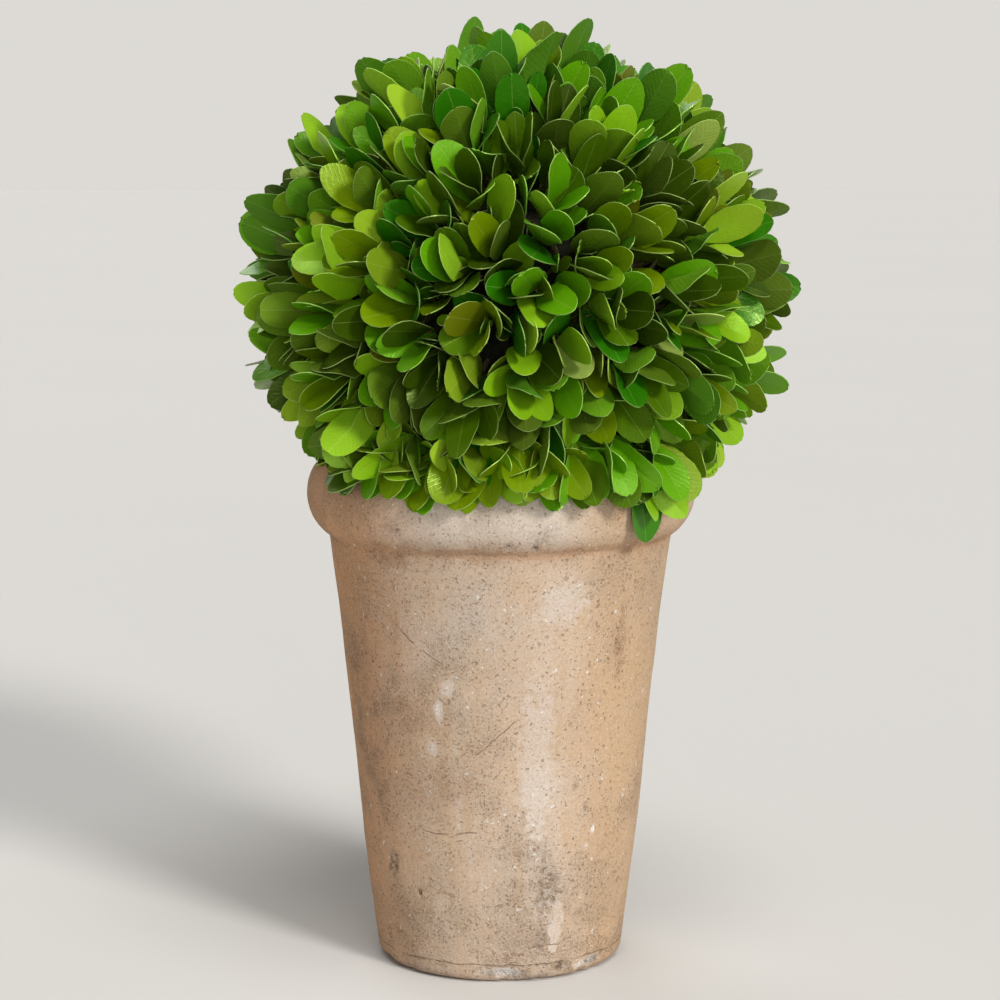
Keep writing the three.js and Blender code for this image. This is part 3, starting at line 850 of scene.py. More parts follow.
@dataclass
class WeatheredPot:
    """The tall clay pot: a turned wall under a rolled rim, then dented, chipped and stained."""

    rim_radius: float
    height: float
    foot_radius: float = 0.0368
    foot_edge: float = 0.0036
    foot_rings: tuple[float, ...] = (0.012, 0.024, 0.034)
    body_foot_radius: float = 0.0400
    neck_radius: float = 0.0559
    neck_height: float = 0.1405
    body_swell: float = 0.00045
    rim_roll: float = 0.012
    rim_middle_height: float = 0.1534
    rim_lower_depth: float = 0.014
    mouth_radius: float = 0.0472
    lip_inset: float = 0.002
    mouth_round: float = 0.003
    wall: float = 0.0075
    floor_height: float = 0.010
    ring_spacing: float = 0.00085
    inner_ring_depth: float = 0.016
    inner_ring_spacing: float = 0.0016
    deep_rings: tuple[float, ...] = (0.120, 0.080, 0.040)
    sides: int = 384
    wobble: float = 0.00038
    dent: float = 0.00013
    grit: float = 0.00006
    rim_pit_depth: float = 0.00035
    crumble_depth: float = 0.0007
    scars: tuple[Scar, ...] = SCARS

    def body_radius(self, height: float) -> float:
        """The body's outer radius at a height, with the slight swell of a thrown wall."""
        share, wider = height / self.neck_height, self.neck_radius - self.body_foot_radius
        return self.body_foot_radius + wider * share + self.body_swell * math.sin(FULL_TURN * share)

    def rim_depth(self, below: bool) -> float:
        """How far the rolled rim reaches below or above its widest height."""
        return self.rim_lower_depth if below else self.height - self.rim_middle_height

    def rim_point(self, angle: float) -> Pair:
        """A point of the rolled rim, by its angle from the rim's widest."""
        out = self.rim_radius - self.rim_roll + self.rim_roll * math.cos(angle)
        return out, self.rim_middle_height + self.rim_depth(angle < 0) * math.sin(angle)

    def outer_radius(self, height: float) -> float:
        """Works out the pot's outermost radius.

        Args:
            height: The height that it is read at.

        Returns:
            The radius, or 0 above the rim.
        """
        if height >= self.height:
            return 0.0
        body = self.body_radius(height) if height <= self.neck_height else 0.0
        offset = height - self.rim_middle_height
        depth = self.rim_depth(offset < 0)
        if abs(offset) >= depth:
            return body
        across = self.rim_roll * math.sqrt(1 - (offset / depth) ** 2)
        return max(body, self.rim_radius - self.rim_roll + across)

    def cavity_radius(self, height: float) -> float:
        """Works out the inner wall's radius.

        Args:
            height: The height that it is read at.

        Returns:
            The radius.
        """
        lip = self.height - self.mouth_round
        low = self.body_radius(self.floor_height) - self.wall
        share = (height - self.floor_height) / (lip - self.floor_height)
        return low + (self.mouth_radius - low) * share

    def outline(self) -> list[Pair]:
        """Draws the pot's section, from its underside over its rim to its floor.

        Returns:
            The section's radii and heights.
        """
        points = [(radius, 0.0) for radius in (0.0, *self.foot_rings, self.foot_radius)]
        for angle in stations(-math.pi / 2, 0.0, math.radians(14))[1:]:
            out = self.foot_radius + self.foot_edge * math.cos(angle)
            points.append((out, self.foot_edge * (1 + math.sin(angle))))
        for height in stations(self.foot_edge, self.neck_height, self.ring_spacing)[1:]:
            points.append((self.body_radius(height), height))
        start = -math.acos((self.neck_radius - self.rim_radius + self.rim_roll) / self.rim_roll)
        for angle in stations(start, math.pi / 2, self.ring_spacing / self.rim_roll)[1:]:
            points.append(self.rim_point(angle))
        lip = self.height - self.mouth_round
        for angle in stations(math.pi / 2, math.pi, math.radians(15)):
            out = self.mouth_radius + self.mouth_round + self.mouth_round * math.cos(angle)
            points.append((out, lip + self.mouth_round * math.sin(angle)))
        inner = stations(lip, self.height - self.inner_ring_depth, self.inner_ring_spacing)[1:]
        for height in (*inner, *self.deep_rings, self.floor_height):
            points.append((self.cavity_radius(height), height))
        return [*points, (0.0, self.floor_height)]

    def build(self) -> Piece:
        """Turns the section round, and weathers it.

        Returns:
            The pot.
        """
        bm = turned(self.outline(), self.sides)
        self.weather(bm)
        return finished_piece("weathered_pot", bm, 60.0)

    def weather(self, bm: Shape) -> None:
        """Dents, chips and stains the turned pot, and keeps where it did so in a colour attribute.

        Args:
            bm: The turned pot.
        """
        layer = bm.verts.layers.float_color.new(LimewashedClay.attribute)
        bm.normal_update()
        moves = []
        for vert in bm.verts:
            point = vert.co
            radius = math.hypot(point.x, point.y)
            in_mouth = radius <= self.mouth_radius - self.lip_inset and point.z >= self.neck_height
            hollow = radius < self.cavity_radius(max(point.z, self.floor_height)) + 0.001 and point.z > 0.001
            if in_mouth or hollow or radius < 1e-4:
                vert[layer] = (0.0, 0.0, 0.3, 1.0)
                continue
            shift, masks = self.worn(point, radius)
            vert[layer] = (*masks, 1.0)
            moves.append((vert, vert.normal * shift))
        for vert, move in moves:
            if vert.co.z < MERGE_DISTANCE:
                move.z = 0.0
            vert.co += move
            vert.co.z = max(0.0, vert.co.z)

    def worn(self, point: Vector, radius: float) -> tuple[float, list[float]]:
        """How weathering moves one point of the pot's outside, and what it leaves there.

        Args:
            point: The point, on the turned pot.
            radius: Its distance from the axis.

        Returns:
            The shift along the surface's normal, and the three weathering channels.
        """
        turn = math.atan2(point.x, -point.y)
        lift = smoothstep(0.0, 0.012, point.z)
        ragged = noise.noise(point * 420.0)
        medium = noise.noise(point * 95.0 + Vector((3.1, 0.0, 0.0)))
        on_rim = smoothstep(0.138, 0.148, point.z)
        shift = self.wobble * (1 + 0.6 * on_rim) * lift * noise.noise(point * 26.0)
        shift += self.dent * (1 + 1.2 * on_rim) * medium
        shift += self.grit * noise.noise(point * 900.0)
        shift -= self.rim_pit_depth * on_rim * smoothstep(0.28, 0.62, noise.noise(point * 210.0))
        masks = [0.0, 0.0, 0.0]
        for scar in self.scars:
            share = smoothstep(1.0, 0.35, scar.reach(turn, radius, point.z) + 0.45 * ragged)
            if share > 0:
                shift -= scar.depth * share
                place = scar.kind.value
                masks[place] = min(1.0, masks[place] + scar.strength * share)
        crumbled = smoothstep(0.0075, 0.0015, point.z) * smoothstep(0.12, 0.5, noise.noise(point * 150.0))
        shift -= self.crumble_depth * crumbled
        masks[Weather.SCAR.value] = max(masks[Weather.SCAR.value], 0.55 * crumbled)
        # A brown band round the neck just under the rim, put into the stain channel: partly stain, partly
        # painted shade under the rim's overhang.
        groove = smoothstep(0.0065, 0.0012, abs(point.z - self.neck_height - 0.0008))
        groove *= 0.55 + 0.6 * noise.noise(point * 48.0)
        # Darker towards the foot.
        below = 0.12 * smoothstep(0.035, 0.0, point.z)
        stain_and_shade = 0.7 * max(0.0, groove) + below + 0.15 * smoothstep(0.1, 0.6, noise.noise(point * 33.0))
        masks[Weather.STAIN.value] = min(1.0, masks[Weather.STAIN.value] + stain_and_shade)
        return shift, masks

    def dress(self, piece: Piece, effects: SharedEffects) -> None:
        """Gives the pot its clay and its body, and hides the solid that it stands for."""
        settle(piece, LimewashedClay().material(effects), "pot")


@dataclass
class Template:
    """A small shape to copy: its points, and its faces as corners, sizes and material places."""

    points: np.ndarray
    corners: np.ndarray
    sizes: np.ndarray
    parts: np.ndarray

    def flat(self) -> np.ndarray:
        """Each corner's place on the uncurled shape, as its map."""
        return self.points[self.corners][:, :2]

    @classmethod
    def of(cls, bm: Shape) -> "Template":
        """Reads a template from a bmesh, and frees it.

        Args:
            bm: The modelled shape.

        Returns:
            The template.
        """
        bm.verts.index_update()
        points = np.array([vert.co[:] for vert in bm.verts])
        faces = [[vert.index for vert in face.verts] for face in bm.faces]
        corners = np.array([index for face in faces for index in face])
        sizes = np.array([len(face) for face in faces])
        parts = np.array([face.material_index for face in bm.faces])
        bm.free()
        return cls(points, corners, sizes, parts)

    @classmethod
    def twig(cls) -> "Template":
        """Models a round twig one long and one in radius, with rings along it to bend at.

        Returns:
            The template.
        """
        bm = bmesh.new()
        bmesh.ops.create_cone(bm, cap_ends=True, segments=6, radius1=1.0, radius2=1.0, depth=1.0)
        bmesh.ops.translate(bm, verts=bm.verts, vec=(0.0, 0.0, 0.5))
        for height in (0.2, 0.4, 0.6, 0.8):
            whole = bm.verts[:] + bm.edges[:] + bm.faces[:]
            bmesh.ops.bisect_plane(bm, geom=whole, plane_co=(0, 0, height), plane_no=UP)
        return cls.of(bm)

    @classmethod
    def lump(cls, squash: float = 1.0, lift: float = 0.0) -> "Template":
        """Models a rough lump of radius one: a crumb, or a bud where it is squashed and lifted.

        Args:
            squash: Its height's share of its width.
            lift: How far it is lifted.

        Returns:
            The template.
        """
        bm = bmesh.new()
        bmesh.ops.create_icosphere(bm, subdivisions=1, radius=1.0)
        bmesh.ops.scale(bm, verts=bm.verts, vec=(1.0, 1.0, squash))
        bmesh.ops.translate(bm, verts=bm.verts, vec=(0.0, 0.0, lift))
        return cls.of(bm)


@dataclass
class Kind:
    """Many copies of small shapes, joined into one mesh."""

    name: str
    mapped: bool = False
    copies: list[np.ndarray] = field(default_factory=list)
    layouts: list[Template] = field(default_factory=list)

    def add(self, template: Template, points: Sequence[Vector] | np.ndarray) -> None:
        """Takes in one copy of a template, with its points in place."""
        self.layouts.append(template)
        self.copies.append(np.array([point[:] for point in points]))

    def build(self) -> Piece:
        """Joins the copies.

        Returns:
            The joined piece.
        """
        mesh = bpy.data.meshes.new(self.name)
        first = np.cumsum([0] + [len(points) for points in self.copies[:-1]])
        corners = [layout.corners + start for layout, start in zip(self.layouts, first)]
        sizes = np.concatenate([layout.sizes for layout in self.layouts])
        parts = np.concatenate([layout.parts for layout in self.layouts])
        places = np.concatenate(self.copies).astype(np.float32)
        mesh.vertices.add(len(places))
        mesh.vertices.foreach_set("co", places.ravel())
        mesh.loops.add(int(sizes.sum()))
        mesh.loops.foreach_set("vertex_index", np.concatenate(corners).astype(np.int32))
        mesh.polygons.add(len(sizes))
        mesh.polygons.foreach_set("loop_start", (np.cumsum(sizes) - sizes).astype(np.int32))
        mesh.polygons.foreach_set("material_index", parts.astype(np.int32))
        if self.mapped:
            flat = np.concatenate([layout.flat() for layout in self.layouts]).astype(np.float32)
            mesh.uv_layers.new(name=LEAF_MAP).data.foreach_set("uv", flat.ravel())
        mesh.update(calc_edges=True)
        mesh.validate()
        return finished_piece(self.name, mesh)


@dataclass(frozen=True)
class LeafForm:
    """The outline of a leaf: where it is widest, how blunt its tip is, and how deep the tip's notch is."""

    widest: float
    bluntness: float
    notch: float
    base_shares: tuple[float, ...] = (1.0, 0.70, 0.37)
    tip_turns_deg: tuple[float, ...] = (0.0, 26.0, 46.0, 63.0, 77.0, 90.0)
    thickness: float = 0.00030
    midrib: float = 0.018
    midrib_taper: float = 0.6
    midrib_relief: float = 0.00022
    ridge_below: float = 1.6
    crease_above: float = 0.6
    stalk: float = 0.05
    tip_half_width: float = 0.075

    def rows(self) -> list[Pair]:
        """Draws the leaf's rows of points from its stalk to its tip.

        Returns:
            The rows, as shares of the length and half widths.
        """
        rows = [
            (self.widest * (1 - share), max(self.stalk, 0.5 * (1 - share * share)))
            for share in self.base_shares
        ]
        for turn in self.tip_turns_deg:
            reach = math.sin(math.radians(turn))
            width = 0.5 * math.sqrt(max(0.0, 1 - reach**self.bluntness))
            rows.append((self.widest + (1 - self.widest) * reach, max(width, self.tip_half_width)))
        return rows

    def template(self) -> Template:
        """Models the blade: a grid drawn to the outline, given its thickness, its crease and its ridge.

        Returns:
            The blade, with its length and its widest width both 1, and its thickness in metres.
        """
        rows = self.rows()
        last = len(rows) - 1
        bm = bmesh.new()
        bmesh.ops.create_grid(bm, x_segments=last, y_segments=3, size=0.5)
        for face in bm.faces:
            inner = abs(face.calc_center_median().y) < 0.1
            face.material_index = (LeafPart.MIDRIB if inner else LeafPart.UPPER).value
        for vert in bm.verts:
            row = round((vert.co.x + 0.5) * last)
            share, half_width = rows[row]
            side = math.copysign(1.0, vert.co.y)
            if abs(vert.co.y) > 0.3:
                vert.co = (share, side * half_width, 0.0)
            else:
                dip = self.notch if row == last else 0.0
                vert.co = (share - dip, side * self.midrib * (1 - self.midrib_taper * share), 0.0)
        bmesh.ops.recalc_face_normals(bm, faces=bm.faces)
        if sum(face.normal.z for face in bm.faces) < 0:
            bmesh.ops.reverse_faces(bm, faces=bm.faces)
        bmesh.ops.solidify(bm, geom=bm.faces, thickness=self.thickness)
        bm.normal_update()
        for face in bm.faces:
            if abs(face.normal.z) < 0.5:
                face.material_index = LeafPart.RIM_AND_HIGHLIGHT.value
            elif face.normal.z < 0 and face.material_index == LeafPart.UPPER.value:
                face.material_index = LeafPart.UNDER.value
        for vert in bm.verts:
            if abs(vert.co.y) < self.midrib + 1e-6 and 0.0 < vert.co.x < 0.97:
                share = self.ridge_below if vert.co.z < 0 else self.crease_above
                vert.co.z -= self.midrib_relief * (1 - vert.co.x) * share
        return Template.of(bm)


@dataclass
class LeafPlan:
    """The size and bends of one leaf, its place round its twig, and the point of the twig that it leaves."""

    turn: float
    spread: float
    roll: float
    length: float
    width: float
    bend: float
    cup: float
    twist: float
    wave: float
    phase: float
    back: float = 0.0
    root: Vector | None = None

    def varied(self, random: SeededRandom, step: int) -> "LeafPlan":
        """The same leaf, turned and opened a little otherwise.

        Args:
            random: The numbers that it varies by.
            step: How far it may vary.

        Returns:
            The plan of another try.
        """
        return replace(
            self,
            turn=self.turn + random.around(0.060 * step),
            spread=max(0.04, self.spread + random.around(0.024 * step)),
            roll=self.roll + random.around(0.045 * step),
            bend=self.bend + random.around(0.016 * step),
            back=self.back + random.between(0.0, 0.00035 * step),
        )


@dataclass
class LeafPose:
    """Where one leaf grows from, how it lies and how it is bent."""

    root: Vector
    along: Vector
    side: Vector
    plan: LeafPlan

    def points(self, local: np.ndarray) -> np.ndarray:
        """Bends a template's points, and puts them in place.

        Args:
            local: Points with the leaf's length and width both 1, and its thickness in metres.

        Returns:
            The points in the plant's frame.
        """
        plan = self.plan
        normal = self.along.cross(self.side)
        share, across, thick = local[:, 0], local[:, 1] * plan.width, local[:, 2]
        middle = np.sin(np.pi * np.clip(share, 0, 1) ** 0.8)
        ruffle = plan.wave * np.sin(plan.phase + 6.8 * share + 1.2 * np.sign(across))
        fold = (plan.cup + ruffle) * plan.width * np.abs(2 * local[:, 1]) ** 1.5 * middle
        rise = thick + fold - plan.bend * plan.length * share * share
        turn = plan.twist * share
        sideways = across * np.cos(turn) - rise * np.sin(turn)
        lift = across * np.sin(turn) + rise * np.cos(turn)
        forward = share * plan.length * (1 - 0.45 * plan.bend * plan.bend * share)
        return (
            np.array(self.root)
            + np.outer(forward, self.along)
            + np.outer(sideways, self.side)
            + np.outer(lift, normal)
        )


@dataclass
class Twig:
    """A twig with leaves: its way from the ball's middle, the way that it points, and its random numbers."""

    radial: Vector
    axis: Vector
    random: SeededRandom
    first_twist: float = 0.0
    spreading: float = 1.0
    tint: int = 0
    tip_radius: float = 0.0005

    def across(self, angle: float) -> Vector:
        """A unit vector square to the axis, at an angle round it."""
        first, second = square_to(self.axis)
        return first * math.cos(angle) + second * math.sin(angle)

    def down(self) -> float:
        """The angle round the twig that points furthest down."""
        return math.atan2(-self.across(math.pi / 2).z, -self.across(0.0).z)


@dataclass
class Sprig(Twig):
    """A main twig, with how far it reaches, and its first four leaves' turns, spreads, lengths and rolls."""

    reach: float = 0.0
    plans: list[tuple[float, ...]] = field(default_factory=list)


@dataclass
class SprigRule:
    """The seeded rule that the ball grows by: a golden-angle lattice, and a ring over the pot's rim."""

    centre: Vector
    ball_radius: float = 0.0855
    top_height: float = 0.305
    least_rise: float = 0.5
    lattice_count: int = 200
    lattice_end: float = math.radians(120)
    lattice_jitter: float = 0.035
    skirt_count: int = 21
    skirt_polar: float = math.radians(131)
    skirt_jitter: float = 0.03
    skirt_reach: float = 0.0018
    skirt_spread: float = 0.72
    axis_jitter: float = 0.09
    reach_jitter: float = 0.003
    stray_share: float = 0.14
    stray_reach: float = 0.0045
    spread_deg: Pair = (20.0, 41.0)
    spread_jitter_deg: float = 5.0
    leaf_length: float = 0.0235
    leaf_length_jitter: float = 0.0022
    outer_leaf_share: float = 0.96
    leaf_roll: float = 0.3
    tip_radius: float = 0.0007
    droop: float = 0.62
    uplift: float = 0.16
    parting: float = 0.36
    seed: int = 20119
    seed_step: int = 7919

    def random(self, number: int) -> SeededRandom:
        """The random numbers of one numbered sprig or twig."""
        return SeededRandom(self.seed + self.seed_step * number)

    def headroom(self, height: float) -> float:
        """How far a twig may reach below the ball's top, by how high its way points."""
        return (self.top_height - self.centre.z) / max(height, self.least_rise)

    def station(self, sprig: Sprig) -> float:
        """How far from the ball's centre a sprig ends, as in the solids."""
        return sprig.reach - math.cos(math.radians(self.spread_deg[0])) * self.leaf_length

    def end(self, sprig: Sprig, depth: float = 0.0) -> Vector:
        """A sprig's end, or a point at a depth below it."""
        return self.centre + sprig.radial * (self.station(sprig) - depth)

    def sprig(
        self, polar: float, azimuth: float, extra: float, spreading: float, random: SeededRandom
    ) -> Sprig:
        """Plans one sprig and its first four leaves, with random numbers drawn in the solids' order.

        Args:
            polar: Its angle from the ball's top.
            azimuth: Its angle round the ball.
            extra: How much further than usual it reaches.
            spreading: How wide its leaves open.
            random: Its own random numbers.

        Returns:
            The sprig.
        """
        radial = polar_way(polar, azimuth)
        jitter = [random.around(self.axis_jitter) for _ in range(3)]
        axis = (radial + Vector(jitter)).normalized()
        stray = self.stray_reach if random.next() < self.stray_share else 0.0
        wanted = self.ball_radius + extra + stray + random.around(self.reach_jitter)
        reach = min(wanted, self.headroom(math.cos(polar)) - self.leaf_length_jitter)
        plans = []
        for place in range(4):
            outer = place % 2
            spread = spreading * (self.spread_deg[outer] + random.around(self.spread_jitter_deg))
            length = self.leaf_length + random.around(self.leaf_length_jitter)
            length *= self.outer_leaf_share if outer else 1.0
            plans.append((place * math.pi / 2, math.radians(spread), length, random.around(self.leaf_roll)))
        twist = random.between(0, math.pi)
        return Sprig(radial, axis, random, twist, spreading, 0, self.tip_radius, reach, plans)

    def combed(self, axis: Vector) -> Vector:
        """Leans a twig as its weight and the light draw it: down when low, up when high, and apart in front.

        Args:
            axis: The way that the twig stands.

        Returns:
            The way that its leaves point.
        """
        fall = self.droop * smoothstep(0.12, 0.45, -axis.z)
        climb = self.uplift * smoothstep(0.10, 0.45, axis.z) * smoothstep(0.98, 0.80, axis.z)
        aside = self.parting * axis.x * abs(axis.y)
        return (axis + Vector((aside, 0.0, climb - fall))).normalized()

    def sprigs(self) -> list[Sprig]:
        """Plans all the sprigs: the ring over the rim first, then the lattice from the top down.

        Returns:
            The sprigs.
        """
        grown = []
        for index in range(self.skirt_count):
            random = self.random(self.lattice_count + index)
            polar = self.skirt_polar + random.around(self.skirt_jitter)
            azimuth = FULL_TURN * index / self.skirt_count + random.around(self.skirt_jitter)
            grown.append(self.sprig(polar, azimuth, self.skirt_reach, self.skirt_spread, random))
        kept = math.floor(self.lattice_count * (1 - math.cos(self.lattice_end)) / 2)
        for index in range(kept):
            random = self.random(index)
            polar = math.acos(1 - 2 * (index + 0.5) / self.lattice_count) + random.around(self.lattice_jitter)
            azimuth = index * GOLDEN_ANGLE + random.around(self.lattice_jitter)
            grown.append(self.sprig(polar, azimuth, 0.0, 1.0, random))
            grown[-1].axis = self.combed(grown[-1].axis)
        return grown


@dataclass(frozen=True)
class Whorl:
    """A crosswise pair of leaves: how far below its twig's end, how wide open, how long and how turned."""

    back: float
    spread_deg: float
    length: float
    turn: float


@dataclass(frozen=True)
class SideTwigs:
    """The four side twigs that fork from each sprig, and their pairs of leaves from the end down."""

    fork_depth: float = 0.014
    lean_deg: float = 34.0
    lean_jitter_deg: float = 8.0
    length: float = 0.0165
    length_jitter: float = 0.002
    leaf_reach: float = 0.0205
    reach_jitter: float = 0.0045
    outward_share: float = 0.90
    radii: Pair = (0.0007, 0.0005)
    whorls: tuple[Whorl, ...] = (
        Whorl(0.0006, 8.0, 0.0240, 0.0),
        Whorl(0.0026, 14.0, 0.0245, math.pi / 2),
        Whorl(-0.0008, 4.0, 0.0110, math.pi / 4),
        Whorl(0.0056, 19.0, 0.0240, 0.0),
    )


@dataclass(frozen=True)
class Fringe:
    """The twigs beside the lowest ring, with leaves that hang over the pot's rim.

    Each leaf's angles are its turn from straight down and its spread.
    """

    polar: float = math.radians(125.0)
    polar_jitter: float = 0.035
    station: float = 0.0595
    station_jitter: float = 0.0015
    front_extra: float = 0.0098
    fork_depth: float = 0.016
    leaf_length: float = 0.0228
    leaf_angles_deg: Pairs = ((0.0, 26.0), (-62.0, 21.0), (62.0, 21.0), (0.0, 9.0))
    low_share: float = 0.16
    low_deg: float = 13.0
    radii: Pair = (0.0008, 0.0005)


@dataclass(frozen=True)
class Drops:
    """A few low twigs, each with one leaf that hangs over the rim and two beside it.

    Each place is a twig's turn from the front and its end's distance from the ball's centre.
    """

    places: Pairs = (
        (41.0, 0.0752), (-13.0, 0.0690), (-46.0, 0.0690), (112.0, 0.0760), (171.0, 0.0690), (-128.0, 0.0740),
    )
    polar: float = math.radians(130)
    leaf_angles_deg: Pairs = ((0.0, 38.0), (-58.0, 24.0), (58.0, 24.0))
    leaf_bend: float = 0.06
    shorter: float = 0.0016
    radii: Pair = (0.0009, 0.0005)
    number: int = 500


@dataclass(frozen=True)
class Wisps:
    """Single twigs that stand a little out of the clipped outline, evenly round the ball."""

    count: int = 36
    end: float = math.radians(112)
    station: Pair = (0.0655, 0.0715)
    spreads_deg: tuple[float, ...] = (9.0, 15.0, 22.0)
    spacing: float = 0.0022
    radii: Pair = (0.0009, 0.0005)
    number: int = 400


class LeafRank(Enum):
    """How many poses are tried for a leaf. An inner leaf is left out where none of them is free."""

    OUTER = 12
    INNER = 9


@dataclass
class Standing:
    """The leaves that stand already, in cells, to find which of them a new leaf would cut through."""

    reach: float = 0.0205
    cells: dict[tuple[int, ...], list[tuple[Vector, BVHTree]]] = field(default_factory=dict)

    def cell(self, point: Vector) -> tuple[int, ...]:
        """The cell that a point is in."""
        return tuple(math.floor(value / self.reach) for value in point)

    def cuts(self, centre: Vector, tree: BVHTree) -> int:
        """Counts the pairs of faces that a new leaf would share with the leaves round it.

        Args:
            centre: The new leaf's middle.
            tree: Its blade.

        Returns:
            The number of pairs.
        """
        found = 0
        for shift in np.ndindex(3, 3, 3):
            cell = tuple(value + step - 1 for value, step in zip(self.cell(centre), shift))
            for other, blade in self.cells.get(cell, ()):
                if (other - centre).length_squared < self.reach * self.reach:
                    found += len(tree.overlap(blade))
        return found

    def add(self, centre: Vector, tree: BVHTree) -> None:
        """Takes in a leaf that now stands."""
        self.cells.setdefault(self.cell(centre), []).append((centre, tree))


@dataclass
class LeafyBall:
    """The clipped ball: boughs from the trunk's tip, twigs, and crosswise pairs of leaves on them."""

    rule: SprigRule
    pot: WeatheredPot
    trunk_tip: Vector
    side: SideTwigs = SideTwigs()
    fringe: Fringe = Fringe()
    drops: Drops = Drops()
    wisps: Wisps = Wisps()
    heart_radius: float = 0.0505
    heart_clearance: float = 0.0235
    bough_reach: float = 0.041
    bough_count: int = 26
    lowest_bough: float = 0.018
    bough_radii: Pair = (0.0028, 0.0014)
    twig_radii: Pair = (0.0012, 0.0007)
    rim_clearance: float = 0.0006
    mouth_depth: float = 0.007
    lift_step: float = math.radians(3.0)
    lift_steps: int = 16
    outline: float = 0.0955
    low_outline: float = 0.0852
    closeness: float = 0.44
    skirt_closeness: float = 0.85
    own_tint_share: float = 0.50
    width_share: float = 0.495
    width_jitter: float = 0.07
    bend: Pair = (0.03, 0.13)
    cup: Pair = (0.12, 0.15)
    most_wave: float = 0.12
    twist: float = 0.28
    pair_spacing: float = 0.0018
    turn_jitter: float = 0.15
    spread_jitter_deg: float = 6.0
    tangle_depth: float = 0.0022
    forms: tuple[LeafForm, ...] = (
        LeafForm(0.56, 2.1, -0.006),
        LeafForm(0.60, 2.2, 0.018),
        LeafForm(0.58, 2.4, 0.032),
        LeafForm(0.51, 1.95, -0.010),
        LeafForm(0.64, 2.2, 0.006),
    )
    form_weights: tuple[int, ...] = (4, 3, 2, 3, 2)
    end_whorls: tuple[Whorl, ...] = (
        Whorl(-0.0010, 5.0, 0.0125, math.pi / 4),
        Whorl(0.0034, 14.0, 0.0248, math.pi / 4),
        Whorl(0.0052, 18.0, 0.0250, 0.0),
        Whorl(0.0082, 22.0, 0.0245, math.pi / 2),
        Whorl(0.0110, 27.0, 0.0238, 0.0),
    )

    TEST_ROWS = ((0.32, 0.39), (0.46, 0.47), (0.62, 0.49), (0.77, 0.43), (0.90, 0.31), (0.99, 0.12))
    RIDGE_SHARES = (0.15, 0.3, 0.45, 0.6, 0.75, 0.9, 1.0)

    def __post_init__(self) -> None:
        """Models the templates, and starts an empty ball."""
        self.leaf_templates = [form.template() for form in self.forms]
        self.twig_template = Template.twig()
        self.bud_template = Template.lump(0.5, 0.5)
        self.leaves = [Kind(f"leaves_{tint.name}", mapped=True) for tint in TINTS]
        self.twigs = Kind("twigs")
        self.boughs = Kind("boughs")
        self.buds = Kind("buds")
        self.standing = Standing()
        self.asked = 0
        self.test_points = np.array([
            (share, side * width, 0.0) for share, width in self.TEST_ROWS for side in (-1, 0, 1)
        ])
        self.test_faces = [
            (corner, corner + 1, corner + 4, corner + 3)
            for row in range(len(self.TEST_ROWS) - 1) for corner in (3 * row, 3 * row + 1)
        ]
        ridge = np.array([(share, 0.0, 0.0) for share in self.RIDGE_SHARES])
        self.touch_points = np.concatenate([self.test_points, ridge])

    def add_twig(self, kind: Kind, path: Sequence[Vector], radii: Pair) -> None:
        """Bends a twig along a curve through three points.

        Args:
            kind: The kind that it joins.
            path: Its start, the point that draws it aside, and its end.
            radii: Its radius at its start and at its end.
        """
        start, middle, end = path
        placed = []
        for x, y, z in self.twig_template.points:
            share = min(1.0, max(0.0, z))
            point = start.lerp(middle, share).lerp(middle.lerp(end, share), share)
            first, second = square_to((middle - start).lerp(end - middle, share).normalized())
            radius = radii[0] + (radii[1] - radii[0]) * share
            placed.append(point + (first * x + second * y) * radius)
        kind.add(self.twig_template, placed)

    def add_arched(self, fork: Vector, end: Vector, arch: float, radii: Pair) -> None:
        """Bends a twig from a fork to its end in an arch that is drawn up by a length."""
        self.add_twig(self.twigs, (fork, fork.lerp(end, 0.5) + UP * arch, end), radii)

    def add_bud(self, point: Vector, heading: Vector, length: float, radius: float) -> None:
        """Puts a bud of a length and a radius on a twig's end."""
        turn, sizes = heading.to_track_quat("Z", "Y"), Vector((radius, radius, length))
        placed = [point + turn @ (Vector(place) * sizes) for place in self.bud_template.points]
        self.buds.add(self.bud_template, placed)

    def clear_of_pot(self, points: np.ndarray) -> bool:
        """Whether a leaf's points all stay outside the pot's wall, or inside its mouth above the soil.

        Args:
            points: Points of the leaf.

        Returns:
            True if they do.
        """
        for x, y, z in points:
            if z > self.pot.height + self.rim_clearance:
                continue
            radius = math.hypot(x, y)
            mouth = self.pot.mouth_radius - self.pot.lip_inset
            inside_mouth = radius < mouth and z > self.pot.height - self.mouth_depth
            wall = self.pot.outer_radius(z - 0.5 * self.rim_clearance) + self.rim_clearance
            if radius < wall and not inside_mouth:
                return False
        return True

    @staticmethod
    def lie(twig: Twig, plan: LeafPlan, lift: float) -> LeafPose:
        """The pose of one leaf on its twig.

        Args:
            twig: The twig that it is on.
            plan: The leaf's plan.
            lift: How far it is lifted towards the sky, in radians.

        Returns:
            The pose.
        """
        across = twig.across(plan.turn)
        way = twig.axis * math.cos(plan.spread) + across * math.sin(plan.spread)
        along = way.lerp(UP, math.sin(lift)).normalized()
        side = twig.axis.cross(across)
        side = (side - along * side.dot(along)).normalized()
        side = Quaternion(along, plan.roll) @ side
        start = plan.root + across * twig.tip_radius - twig.axis * plan.back
        return LeafPose(start, along, side, plan)

